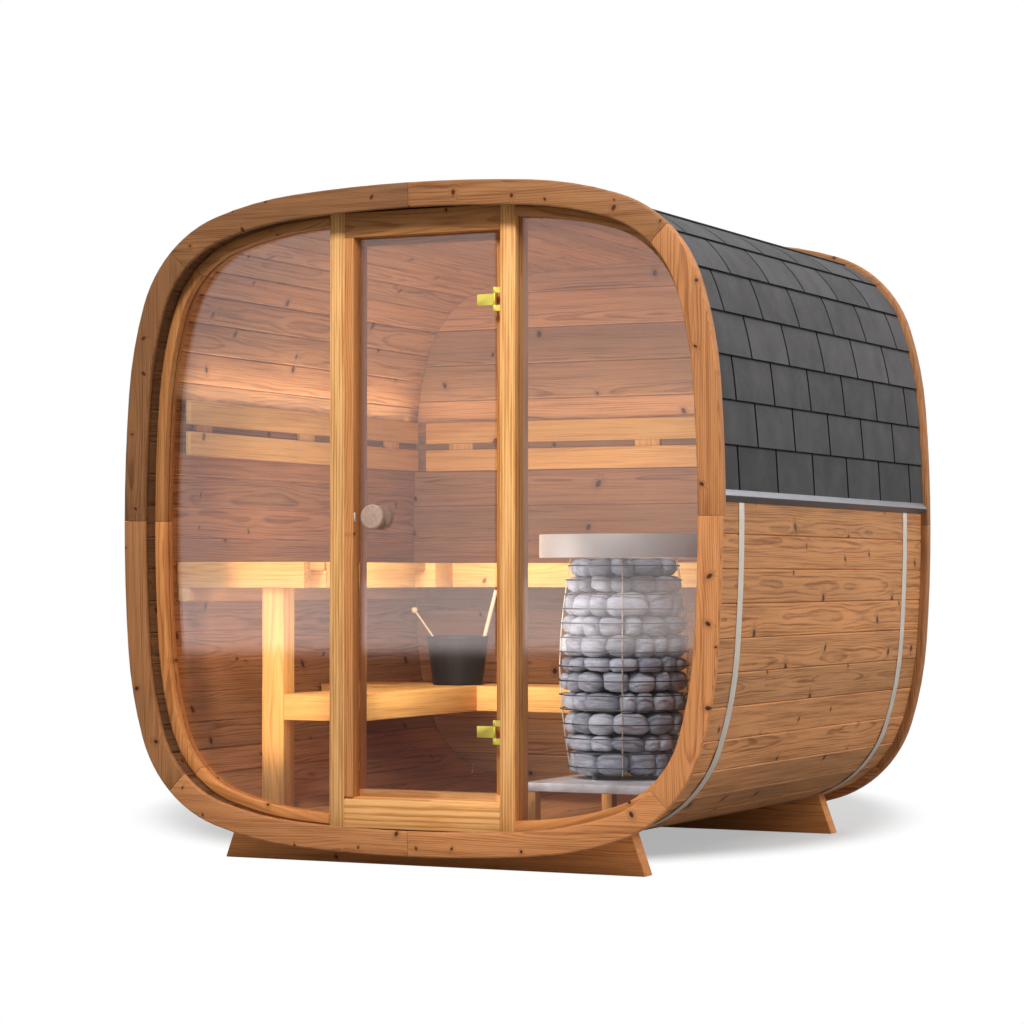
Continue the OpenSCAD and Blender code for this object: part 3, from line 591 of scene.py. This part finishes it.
# %% Copy the staves round the barrel
mid = Matrix.Translation((0, 0, mid_z))
swap_xz = Matrix(((0, 0, 1, 0), (0, 1, 0, 0), (1, 0, 0, 0), (0, 0, 0, 1)))
staves = []
for quarter in range(4):
    spin = Matrix.Rotation(-quarter * math.pi / 2, 4, "Y")
    for number, stave in enumerate(cut):
        ways = [Matrix.Identity(4)] if number == 0 else [Matrix.Identity(4), swap_xz]
        for way in ways:
            twin = copy_of(stave, mid @ spin @ way @ mid.inverted())
            renumber_board(twin)
            staves.append(twin)
for stave in cut:
    bpy.data.objects.remove(stave)
print("staves all round:", len(staves))
staves = joined(staves, "barrel_staves")
staves.data.materials.append(stave_wood)
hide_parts("floor", "roof", "wall_left", "wall_right", "corner_lower_left",
            "corner_lower_right", "corner_upper_left", "corner_upper_right")
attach(staves, "building")
print(faces_of(staves))

# %% [markdown]
# ## Joinery with softened edges
# The construction model has every board of the rings, frames, benches and cradles at its
# real size, but with knife-sharp edges. Real boards are sanded. A copy of each CAD mesh is
# merged and split into its boards, each board notes its own grain, and a small bevel on
# the sharp edges catches the light.

# %% Split a CAD node into boards and soften them
def main_axes(obj):
    """The two longest directions of a board, snapped to the world where they are close."""
    points = [v.co for v in obj.data.vertices]
    centre = sum(points, Vector()) / len(points)
    spread = Matrix(((0, 0, 0),) * 3)
    for point in points:
        step = point - centre
        for i in range(3):
            for j in range(3):
                spread[i][j] += step[i] * step[j]
    axes = []
    slanting = Vector((0.61, 0.53, 0.59))
    for _ in range(2):
        way = slanting.copy()
        for _ in range(60):
            way = spread @ way
            for axis in axes:
                way -= axis * way.dot(axis)
            way.normalize()
        axes.append(way)
    nearly_along = 0.97
    for n, way in enumerate(axes):
        for world_axis in (Vector((1, 0, 0)), Vector((0, 1, 0)), Vector((0, 0, 1))):
            if abs(way.dot(world_axis)) > nearly_along:
                axes[n] = world_axis
    axes[1] = (axes[1] - axes[0] * axes[1].dot(axes[0])).normalized()
    return centre, axes[0], axes[1]


def clean_copy(name):
    """A merged copy of a CAD node, without the lines across its flat faces."""
    twin = bpy.data.objects.new(name + "_dressed", nodes[name].data.copy())
    twin.data.materials.clear()
    scene.collection.objects.link(twin)
    edit(twin, "VERT")
    bpy.ops.mesh.select_all(action="SELECT")
    bpy.ops.mesh.remove_doubles(threshold=0.00002)
    bpy.ops.mesh.dissolve_limited(angle_limit=math.radians(0.4))
    leave()
    return twin


sharp_angle, smooth_angle = math.radians(35), math.radians(30)


def soften(obj, width):
    """Bevels every sharp edge and shades the rest smooth."""
    edit(obj, "EDGE")
    bpy.ops.mesh.edges_select_sharp(sharpness=sharp_angle)
    bpy.ops.mesh.bevel(offset=width, segments=2, affect="EDGES", clamp_overlap=True)
    leave()
    pick(obj)
    bpy.ops.object.shade_smooth_by_angle(angle=smooth_angle)


def round_outline(obj, width):
    """Rounds the long curved edges of ring boards, and leaves their joints alone."""
    def on_outline(edge):
        way = (edge.verts[1].co - edge.verts[0].co).normalized()
        out = Vector((edge.verts[0].co.x, 0, edge.verts[0].co.z - mid_z)).normalized()
        sharp = edge.calc_face_angle(0) > sharp_angle
        return sharp and abs(way.y) < 0.3 and abs(way.dot(out)) < 0.6

    edit(obj, "EDGE")
    select(obj, "EDGE", on_outline)
    bpy.ops.mesh.bevel(offset=width, segments=3, affect="EDGES", clamp_overlap=True)
    leave()


def dress(name, material, width=0.002, body="building", tone_at=None, outline=0):
    """Replaces a wooden CAD node by its boards with softened edges."""
    whole = clean_copy(name)
    edit(whole)
    bpy.ops.mesh.select_all(action="SELECT")
    bpy.ops.mesh.separate(type="LOOSE")
    leave()
    boards = list(bpy.context.selected_objects)
    for board in boards:
        centre, along, across = main_axes(board)
        tone = tone_at(centre) if tone_at else None
        note_board(board, centre, along, across, tone)
    result = joined(boards, name + "_boards")
    if outline:
        round_outline(result, outline)
    soften(result, width)
    result.data.materials.append(material)
    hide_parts(name)
    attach(result, body)
    print(faces_of(result), "in", len(boards), "pieces")


# %% Rings and cradles
def ring_painted_light(centre):
    """Painted light: the ring's boards darken towards the upper left and lighten towards the
    lower right, with a little random tone.
    """
    slope = 0.53 + centre.x / half_w * 0.43 - (centre.z - mid_z) / half_w * 0.48
    return min(max(slope + random.uniform(-0.07, 0.07), 0.02), 0.98)


def even_tone(centre):
    """Boards cut from one batch, a little darker than the middle of the range."""
    return random.uniform(0.3, 0.5)


for name in ("front_ring_upper", "front_ring_lower"):
    dress(name, ring_wood, 0.0012, tone_at=ring_painted_light, outline=0.007)
dress("rear_ring", ring_wood, 0.0012, tone_at=even_tone, outline=0.007)
for name in ("cradle_front", "cradle_rear"):
    dress(name, frame_wood, 0.003, tone_at=lambda centre: 0.98)

# %% [markdown]
# The frames of the two windows follow the barrel's curve, so their edges are only eased.
# The posts are planed softwood without knots, with rounder edges. The left post is given
# a darker tone than the right one.

# %% Window frames, posts and door frame
def frame_painted_shade(centre):
    """Painted shade: frame boards are darker towards the top of the front wall and paler towards
    the bottom.
    """
    return 0.62 - 0.45 * (centre.z - mid_z) / half_w


for name in ("window_frame_left", "window_frame_right", "door_head"):
    dress(name, frame_wood, 0.0015, tone_at=frame_painted_shade)
for name, width in (("post_left", 0.004), ("post_right", 0.004), ("door_sill", 0.008)):
    tone = 0.05 if name == "post_left" else 0.6
    dress(name, post_wood, width, tone_at=lambda centre: tone)
dress("door_jambs", frame_wood, 0.0015, tone_at=frame_painted_shade)

# %% [markdown]
# Benches are made of a pale wood that stays cool to the touch, sanded round at every edge
# that somebody may lean on.

# %% Benches, backrests and heater stand
for name in ("upper_bench_left", "upper_bench_back", "lower_bench_left", "lower_bench_back",
             "bench_supports", "backrest_left", "backrest_back", "heater_stand"):
    dress(name, bench_wood, 0.0025)

# %% [markdown]
# The knobs are turned from one block, so their grain is a single board's. The ladle and
# the rod are too thin for more than a hint of rounding.

# %% Door knobs and ladle
dress("door_knobs", knob_wood, 0.001, "door")
dress("ladle", ladle_wood, 0.0006)

# %% [markdown]
# ## Back wall
# The back wall is made of wide boards laid across, with the same V joints as the staves.
# One board is a cube cut to length at both ends by the curve of the barrel, so the wall is
# cut out of a stack of boards with the CAD wall as the cutter: the Boolean modifier keeps
# what lies inside both.

# %% Boards of the back wall
wall_low, wall_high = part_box("back_wall")
board_w = 0.134
board_gap = 0.0006
stack = []
rows = math.ceil((wall_high.z - wall_low.z) / board_w)
wall_mid_y = (wall_low.y + wall_high.y) / 2


def row_centre(row):
    return Vector((0, wall_mid_y, wall_low.z + (row + 0.5) * board_w))


for row in range(rows):
    bpy.ops.mesh.primitive_cube_add(size=1)
    board = bpy.context.active_object
    board.name = "wall_board"
    size = (wall_high.x - wall_low.x + 0.02, wall_high.y - wall_low.y, board_w - board_gap)
    board.data.transform(Matrix.Diagonal((*size, 1)))
    board.data.transform(Matrix.Translation(row_centre(row)))
    edit(board, "EDGE")
    select(board, "EDGE", lambda e: abs((e.verts[0].co - e.verts[1].co).x) > 1)
    bpy.ops.mesh.bevel(offset=joint_v, segments=1, affect="EDGES")
    leave()
    stack.append(board)
wall = joined(stack, "back_wall_boards")
cutter = clean_copy("back_wall")
pick(wall)
trim = wall.modifiers.new("trim", "BOOLEAN")
trim.operation, trim.object, trim.solver = "INTERSECT", cutter, "EXACT"
bpy.ops.object.modifier_apply(modifier="trim")
bpy.data.objects.remove(cutter)
wall.data.materials.clear()
edit(wall)
bpy.ops.mesh.select_all(action="SELECT")
bpy.ops.mesh.separate(type="LOOSE")
leave()
stack = list(bpy.context.selected_objects)
for board in stack:
    middle_z = sum(v.co.z for v in board.data.vertices) / len(board.data.vertices)
    row = int((middle_z - wall_low.z) / board_w)
    note_board(board, row_centre(row), Vector((1, 0, 0)), Vector((0, 0, 1)))
wall = joined(stack, "back_wall_boards")
wall.data.materials.append(wall_wood)
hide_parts("back_wall")
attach(wall, "building")
print(faces_of(wall), "in", rows, "boards")

# %% [markdown]
# ## Shingles
# Strips of bitumen shingle lap over each other from the eaves to the ridge. Each strip is
# cut into tabs, and every other strip is shifted by half a tab. A tab starts as a flat
# grid, is extruded to get its thickness, and is then laid on the curve of the barrel with
# its lower edge standing proud of the strip below.

# %% Lay one tab on the barrel
roof_low, roof_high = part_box("roof_shingles")
eaves_z = roof_low.z
shingle_base = stave_out - 0.0003
course = 0.1362
tab_w = 0.3263
slot_w = 0.013
tab_t = 0.0035
lap = 0.03
low_lift, fall, least_lift = 0.0092, 0.0062, 0.0006


def eaves_distance():
    """Distance along the outline from the middle of the side up to the eaves."""
    low, high = 0.0, 0.5
    for _ in range(40):
        guess = (low + high) / 2
        if walk(guess, stave_out)[0].z < eaves_z:
            low = guess
        else:
            high = guess
    return low


first = eaves_distance()


def bent_sheet(steps, place):
    """A thin grid with thickness; place() gives each corner from its own x, y and z."""
    bpy.ops.mesh.primitive_grid_add(x_subdivisions=steps, y_subdivisions=1, size=1)
    sheet = bpy.context.active_object
    edit(sheet)
    bpy.ops.mesh.select_all(action="SELECT")
    bpy.ops.mesh.extrude_region_move(TRANSFORM_OT_translate={"value": (0, 0, 1)})
    bpy.ops.mesh.select_all(action="SELECT")
    bpy.ops.mesh.normals_make_consistent(inside=False)
    leave()
    exposed = []
    for vertex in sheet.data.vertices:
        up = vertex.co.x + 0.5
        exposed.append(up * (course + lap) / course)
        vertex.co = place(up, vertex.co.y > 0, vertex.co.z > 0.5)
    layer = sheet.data.attributes.new("exposed", "FLOAT", "POINT")
    layer.data.foreach_set("value", exposed)
    layer = sheet.data.attributes.new("tab", "FLOAT", "POINT")
    layer.data.foreach_set("value", [random.random()] * len(exposed))
    return sheet


def lay_tab(number, y0, y1):
    """A tab of one course between two distances along the roof."""
    start = first + number * course

    def place(up, far, top):
        point, out = walk(start + up * (course + lap), shingle_base, stave_out)
        lift = low_lift - fall * up - (0 if top else tab_t)
        corner = point + out * max(lift, least_lift)
        corner.y = y1 if far else y0
        return corner

    return bent_sheet(8, place)


# %% [markdown]
# One slope is covered course by course, with a slot between neighbouring tabs, and the
# other slope is its mirror image. Narrow leftovers at the ends of a course are dropped.

# %% Cover both slopes
half_roof = 2 * eighth_length(stave_out)
courses = int((half_roof - first) / course)
roof_y0, roof_y1 = roof_low.y + 0.001, roof_high.y - 0.001
first_joint = front_y + 0.1876
narrowest = 0.02
tabs = []
for number in range(courses):
    joint = first_joint - (tab_w if number % 2 == 0 else tab_w / 2)
    while joint < roof_y1:
        y0, y1 = max(joint + slot_w / 2, roof_y0), min(joint + tab_w - slot_w / 2, roof_y1)
        if y1 - y0 > narrowest:
            tabs.append(lay_tab(number, y0, y1))
        joint += tab_w
print("tabs on one slope:", len(tabs), "in", courses, "courses")
tabs += [copy_of(tab, Matrix.Scale(-1, 4, (1, 0, 0))) for tab in tabs]
shingles = joined(tabs, "shingle_tabs")
edit(shingles, "VERT")
bpy.ops.mesh.select_all(action="SELECT")
bpy.ops.mesh.remove_doubles(threshold=0.00001)
leave()
pick(shingles)
bpy.ops.object.shade_smooth_by_angle(angle=smooth_angle)
print(faces_of(shingles))

# %% [markdown]
# ## Ridge
# A row of caps folded over the ridge covers the top edges of both slopes. Each cap laps
# over the one in front of it.

# %% Ridge caps
cap_lap = 0.035
cap_reach = half_roof - first - courses * course + cap_lap
cap_count = 12
cap_lift, cap_tuck, cap_span = 0.0100, 0.0035, 1.12


def ridge_cap(y0, y1):
    """A cap bent over the ridge, with its front end lifted onto the cap before it."""
    def place(up, far, top):
        point, out = walk(half_roof - (2 * up - 1) * cap_reach, shingle_base, stave_out)
        lift = (cap_lift if top else cap_lift - tab_t) - (cap_tuck if far else 0)
        corner = point + out * lift
        corner.y = y1 if far else y0
        return corner

    cap = bent_sheet(10, place)
    layer = cap.data.attributes["exposed"]
    layer.data.foreach_set("value", [0.5] * len(cap.data.vertices))
    return cap


felt_top, felt_under = 0.0008, 0.0002


def felt(side):
    """Roofing felt over one slope, under the tabs."""
    def place(up, far, top):
        point, out = walk(first + up * (half_roof - first), shingle_base, stave_out)
        corner = point + out * (felt_top if top else felt_under)
        corner.y = roof_y1 if far else roof_y0
        corner.x *= side
        return corner

    sheet = bent_sheet(40, place)
    layer = sheet.data.attributes["exposed"]
    layer.data.foreach_set("value", [1.0] * len(sheet.data.vertices))
    edit(sheet)
    bpy.ops.mesh.select_all(action="SELECT")
    bpy.ops.mesh.normals_make_consistent(inside=False)
    leave()
    return sheet


cap_w = (roof_y1 - roof_y0) / cap_count
caps = [ridge_cap(roof_y0 + n * cap_w, min(roof_y0 + (n + cap_span) * cap_w, roof_y1))
        for n in range(cap_count)]
shingles = joined([shingles, *caps, felt(1), felt(-1)], "shingle_tabs")
print("with ridge caps,", faces_of(shingles))

# %% [markdown]
# Bitumen shingles are covered in crushed slate. A fine noise makes the grains, a coarser
# one the mottled tone, and another gives each tab its own shade. The courses near the eaves
# are darker, as painted shade.

# %% Shingle finish
slate = Finish("slate_granules", Roughness=0.92, Specular_IOR_Level=0.25)
place = slate.place()
exposed = slate.node("ShaderNodeAttribute", {"attribute_name": "exposed"}, (), "Fac")
own = slate.node("ShaderNodeAttribute", {"attribute_name": "tab"}, (), "Fac")
grains = slate.noise(place, 900, 2, 0.7)
coarse = slate.noise(place, 160, 3, 0.7)
patch = slate.noise(place, 9, 4, 0.6)
tone = 0.62 + grains.between(0.3, 0.75) * 0.5 + (patch - 0.5) * 0.5 + (own - 0.5) * 0.22
x, y, z = slate.split(place)
# painted shade: the courses near the eaves are darker
eaves_shade = 0.74 + z.between(eaves_z, eaves_z + 0.42) * 0.26
tone = (tone + (coarse - 0.5) * 0.5) * (1 - exposed.between(0.93, 0.98) * 0.93) * eaves_shade
colour = slate.mix(patch, (0.083, 0.080, 0.082), (0.115, 0.110, 0.112))
colour = slate.mix(1.0, colour, slate.vector(tone, tone, tone), "MULTIPLY")
light_grain = slate.noise(place, 1500, 1).between(0.66, 0.74)
slate.set("Base Color", slate.mix(light_grain * 0.5, colour, (0.24, 0.23, 0.23)))
slate.bump(grains + coarse * 0.7, 0.0014, 0.9)
cut_edge = Finish("bitumen_edge", Roughness=0.6, Specular_IOR_Level=0.3)
ragged = cut_edge.noise(cut_edge.place(), 300, 3, 0.7)
cut_edge.set("Base Color", cut_edge.mix(ragged, (0.008, 0.008, 0.008), (0.03, 0.03, 0.03)))
cut_edge.bump(ragged, 0.001, 0.8)
shingles.data.materials.append(slate.material)
shingles.data.materials.append(cut_edge.material)
for face in shingles.data.polygons:
    outward = Vector((face.center.x, 0, face.center.z - mid_z)).normalized()
    face.material_index = 0 if abs(face.normal.dot(outward)) > 0.6 else 1
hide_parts("roof_shingles")
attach(shingles, "building")

# %% [markdown]
# ## Metal
# The drip edges are folded aluminium, the bands round the barrel stainless steel and the
# heater is a cage of round bars. Rolled metal has faint lines along its length, and all
# of it has small smudges that change its gloss.

# %% Metal finishes
def metal_finish(name, colour, roughness, brushed=(6, 6, 300), metallic=1.0, mottled=0.12):
    """Metal with fine lines; brushed gives how dense they are along x, y and z."""
    f = Finish(name, Metallic=metallic)
    place = f.place()
    x, y, z = f.split(place)
    lines = f.noise(f.vector(x * brushed[0], y * brushed[1], z * brushed[2]), 1.0, 3, 0.6)
    smudge = f.noise(place, 14, 4, 0.6)
    tone = 1 + (smudge - 0.5) * mottled * 2 + (lines - 0.5) * 0.12
    tint = f.vector(tone, tone, tone)
    f.set("Base Color", f.mix(1.0, colour, tint, "MULTIPLY"))
    f.set("Roughness", roughness + (smudge - 0.5) * 0.22 + (lines - 0.5) * 0.12)
    f.bump(lines + smudge * 0.5, 0.0003, 0.35)
    return f.material


aluminium = metal_finish("drip_aluminium", (0.30, 0.30, 0.32), 0.45, (9, 9, 500))
band_steel = metal_finish("band_steel", (0.66, 0.60, 0.52), 0.5, (30, 400, 30), 0.45)
brass = metal_finish("brass", (0.88, 0.72, 0.13), 0.34, (60, 60, 60), 0.8, 0.1)
chrome = metal_finish("chrome", (0.84, 0.82, 0.80), 0.35, (60, 60, 60), 0.5, 0.05)
# painted shade: the hoops are coloured dark for the shade and dark reflections they show; the
# rods keep the pale steel
cage_steel = metal_finish("cage_steel", (0.10, 0.098, 0.105), 0.42, (60, 60, 60), 0.9, 0.08)
rod_steel = metal_finish("rod_steel", (0.62, 0.57, 0.48), 0.40, (60, 60, 60), 0.6, 0.08)
foot_black = metal_finish("foot_black", (0.02, 0.02, 0.022), 0.5, (60, 60, 60), 0.0, 0.1)
collar_steel = metal_finish("collar_steel", (0.56, 0.51, 0.48), 0.55, (10, 10, 400), 0.2)
tray_steel = metal_finish("tray_steel", (0.68, 0.69, 0.74), 0.5, (200, 5, 5), 0.2, 0.5)
print("metal finishes ready")


# %% [markdown]
# The metal parts keep their exact shape. Each is a merged copy with a very small bevel,
# because an edge without one never catches the light.

# %% Soften the metal parts
def dress_metal(name, material, width, body="building"):
    """Replaces a metal CAD node by a merged copy with softened edges."""
    piece = clean_copy(name)
    soften(piece, width)
    piece.data.materials.append(material)
    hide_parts(name)
    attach(piece, body)
    print(faces_of(piece))
    return piece


dress_metal("drip_edges", aluminium, 0.0008)
dress_metal("steel_bands", band_steel, 0.0004)
dress_metal("hinge_plates", brass, 0.0012)
dress_metal("hinge_clamps", brass, 0.0012, "door")
dress_metal("door_catch", chrome, 0.0008)
tray = dress_metal("heater_tray", tray_steel, 0.003)
dress_metal("heater_collar", collar_steel, 0.0006)
cage = dress_metal("heater_cage", cage_steel, 0.0012)

# %% Feet and rods in their own colours
def two_tone(piece, other, test):
    """Gives a second material to the faces whose heights pass a test."""
    piece.data.materials.append(other)
    for face in piece.data.polygons:
        heights = [piece.data.vertices[corner].co.z for corner in face.vertices]
        face.material_index = 1 if test(min(heights), max(heights)) else 0


foot_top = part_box("heater_tray")[1].z
foot_h, hoop_h = 0.009, 0.008
two_tone(tray, foot_black, lambda low, high: high > foot_top - foot_h)
two_tone(cage, rod_steel, lambda low, high: high - low > hoop_h)
print("black feet under the cage, pale rods between its hoops")

# %% [markdown]
# ## Heater stones
# Rounded stones fill the cage. Each kind starts as a cube with a wide bevel and is dented
# here and there. Copies of different sizes are laid round the cage in rows of different
# heights. Stones inside the pile are hidden, so only the outer ones and the top are made.
# Each vertex notes how far out it lies, so that the gaps between the stones get painted shade.

# %% Six kinds of stone
def make_stone(kind):
    """A block two units long with rounded edges and a few worn corners."""
    rng = random.Random(100 + kind)
    bpy.ops.mesh.primitive_cube_add(size=2)
    stone = bpy.context.active_object
    stone.name = "stone"
    edit(stone, "EDGE")
    bpy.ops.mesh.select_all(action="SELECT")
    bpy.ops.mesh.bevel(offset=rng.uniform(0.55, 0.75), segments=3, affect="EDGES")
    for _ in range(7):
        way = Vector([rng.gauss(0, 1) for _ in range(3)]).normalized()
        reach = rng.uniform(0.8, 1.05)
        select(stone, "VERT", lambda v: v.co.dot(way) > reach)
        bpy.ops.transform.translate(value=-way * rng.uniform(0.06, 0.18))
    leave()
    layer = stone.data.attributes.new("proud", "FLOAT", "POINT")
    layer.data.foreach_set("value", [0.5 - vertex.co.y / 2 for vertex in stone.data.vertices])
    pick(stone)
    bpy.ops.object.shade_smooth()
    return stone


kinds = [make_stone(kind) for kind in range(6)]
pile_low, pile_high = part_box("heater_stones")
pile_x = (pile_low.x + pile_high.x) / 2
pile_y = (pile_low.y + pile_high.y) / 2
pile_h = pile_high.z - pile_low.z
belly_r = (pile_high.x - pile_low.x) / 2
end_r = belly_r - 0.035
outer_depth, inner_depth = 0.046, 0.125
print("stone pile", round(pile_h, 3), "high,", round(2 * belly_r, 3), "across")

# %% Pile the stones
rng = random.Random(11)
stone_rows = (70, 50, 66, 60, 60, 42, 66, 55, 70, 48, 52)
stone_d = 0.09
narrow, broad, broadest, smallest_left = 0.058, 0.122, 0.15, 0.045
stones = []


def lay_stone(radius, turn, z, width, height):
    """A copy of a stone with its flat side outwards, a little askew, at a given size."""
    askew = Matrix.Rotation(rng.uniform(-0.10, 0.10), 4, "Y")
    askew = askew @ Matrix.Rotation(rng.uniform(-0.10, 0.10), 4, "X")
    place = Matrix.Translation((pile_x, pile_y, z)) @ Matrix.Rotation(turn, 4, "Z")
    place = place @ Matrix.Translation((0, -radius, 0)) @ askew
    size = Matrix.Diagonal((width / 2, stone_d / 2, height / 2, 1))
    stone = copy_of(rng.choice(kinds), place @ size)
    layer = stone.data.attributes.new("own", "FLOAT", "POINT")
    layer.data.foreach_set("value", [rng.random()] * len(stone.data.vertices))
    stones.append(stone)


def lay_row(z, row_h, radius):
    """Stones side by side round one circle, with a little room between them."""
    left = 2 * math.pi
    turn = rng.uniform(0, math.pi)
    while left > 0.02:
        span = min(rng.uniform(narrow, broad) / (radius + stone_d / 2), left)
        if left - span < smallest_left / radius:
            span = left
        width = min(span * (radius + stone_d / 2) * 0.98, broadest)
        lay_stone(radius, turn + span / 2, z, width, row_h * rng.uniform(0.94, 1.08))
        turn += span
        left -= span


z = pile_low.z
for row, share in enumerate(stone_rows):
    row_h = pile_h * share / sum(stone_rows)
    level = (z + row_h / 2 - pile_low.z) / pile_h
    row_r = belly_r - (2 * level - 1) ** 2 * (belly_r - end_r)
    top_row = row == len(stone_rows) - 1
    for depth in (outer_depth, inner_depth) if top_row else (outer_depth,):
        lay_row(z + row_h / 2, row_h, row_r - depth)
    z += row_h
print("stones:", len(stones))

# %% Dark core behind the stones, as painted shade
# the core is a painted shade: having no proud value, it takes the darkest gap colour
bpy.ops.mesh.primitive_cylinder_add(vertices=32, radius=end_r - 0.05, depth=pile_h - 0.06,
                                    location=(pile_x, pile_y, pile_low.z + pile_h / 2))
core = bpy.context.active_object
bpy.ops.object.transform_apply(location=True, rotation=True, scale=True)
edit(core)
select(core, "FACE", lambda f: abs(f.normal.z) < 0.5)
bpy.ops.mesh.subdivide(number_cuts=6)
select(core, "VERT", lambda v: abs(v.co.z - pile_low.z - pile_h / 2) < pile_h * 0.3)
bpy.ops.transform.resize(value=(1.12, 1.12, 1), center_override=(pile_x, pile_y, 0))
leave()
for kind in kinds:
    bpy.data.objects.remove(kind)
pile = joined([*stones, core], "stone_pile")
stone_skin = Finish("stones", Roughness=0.72)
place = stone_skin.place()
own = stone_skin.node("ShaderNodeAttribute", {"attribute_name": "own"}, (), "Fac")
proud = stone_skin.node("ShaderNodeAttribute", {"attribute_name": "proud"}, (), "Fac")
x, y, z = stone_skin.split(place)
seams = stone_skin.noise(stone_skin.vector(x * 30, y * 30, z * 160 + own * 50), 1.0, 3, 0.6)
speck = stone_skin.noise(place, 260, 3, 0.7)
tone = own * 0.55 + (seams - 0.5) * 1.1 + 0.2
colour = stone_skin.mix(tone.between(0.0, 1.0), (0.23, 0.25, 0.31), (0.66, 0.70, 0.82))
colour = stone_skin.mix(speck.between(0.5, 0.8) * 0.45, colour, (0.66, 0.68, 0.78))
# painted shade in the gaps between the stones and on the core behind them
gap_shade = 1 - proud.between(0.40, 0.92)
colour = stone_skin.mix(gap_shade * 0.93, colour, (0.008, 0.008, 0.011))
stone_skin.set("Base Color", colour)
stone_skin.set("Roughness", 0.55 + speck * 0.3)
stone_skin.bump(speck * 0.6 + seams, 0.002, 0.7)
pile.data.materials.append(stone_skin.material)
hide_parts("heater_stones")
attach(pile, "building")
print(faces_of(pile))

# %% [markdown]
# ## Glass
# The two side panes and the door are single sheets of bronze-tinted safety glass. A flat
# pane bends nothing that is seen through it, so each is a see-through surface with a
# tint and a clear reflection that grows at a slant. A haze of fine dust makes the
# reflection a little uneven.

# %% Glass finish
pane = Finish("glass", Metallic=1.0)
pane.shader.inputs["Base Color"].default_value = (0.80, 0.74, 0.76, 1)
spot = pane.place()
dust = pane.noise(spot, 5, 4, 0.6)
film = pane.noise(spot, 40, 4, 0.6)
slant = pane.node("ShaderNodeLayerWeight", None, {"Blend": 0.35}, "Fresnel")
pane.set("Alpha", 0.05 + dust * 0.03 + slant * 0.3)
pane.set("Roughness", 0.015 + film * 0.03)
pane.material.surface_render_method = "DITHERED"
for name in ("window_glass_left", "window_glass_right", "door_glass"):
    nodes[name].data.materials.clear()
    nodes[name].data.materials.append(pane.material)

# %% [markdown]
# ## Bucket
# The water bucket is blackened steel, a little smudged.

# %% Bucket
black = Finish("bucket_black", Metallic=0.0, Specular_IOR_Level=0.3)
place = black.place()
smudge = black.noise(place, 22, 4, 0.6)
black.set("Base Color", black.mix(smudge, (0.006, 0.005, 0.005), (0.014, 0.011, 0.011)))
black.set("Roughness", 0.42 + smudge * 0.25)
black.bump(smudge, 0.0003, 0.3)
dress_metal("bucket", black.material, 0.0008)

# %% [markdown]
# ## Warm lamps inside
# Two strips behind the backrests light the walls above them. Four soft lamps just inside
# the front wall light the fronts of the benches and the heater. The camera does not see
# the lamps themselves, but the glass would, so none of them reaches through it.

# %% Inside lamps
neutral, warm, amber = (1.0, 0.95, 0.90), (1.0, 0.90, 0.70), (1.0, 0.66, 0.40)
lamp("front_low", (-0.58, -0.86, 0.82), (-0.56, 0.2, 0.82), 0.35, 1.35, amber, 1.0, 120)
lamp("front_mid", (0.02, -0.78, 0.85), (-0.60, 0.4, 0.75), 0.25, 4.4, warm, 0.5, 140)
lamp("heater_lamp", (0.10, -0.81, 0.70), (0.50, -0.2, 0.65), 0.2, 1.4, neutral, 0.8, 140)
lamp("front_high", (-0.15, -0.72, 1.35), (-0.20, 0.9, 1.1), 0.5, 5.9, warm, None, 138)
lamp("left_strip", (-0.90, 0.0, 1.50), (-0.94, 0.0, 1.9), 1.5, 2.2, warm, 0.04)
lamp("back_strip", (-0.25, 0.80, 1.50), (-0.25, 0.84, 1.9), 1.4, 1.1, warm, 0.04)
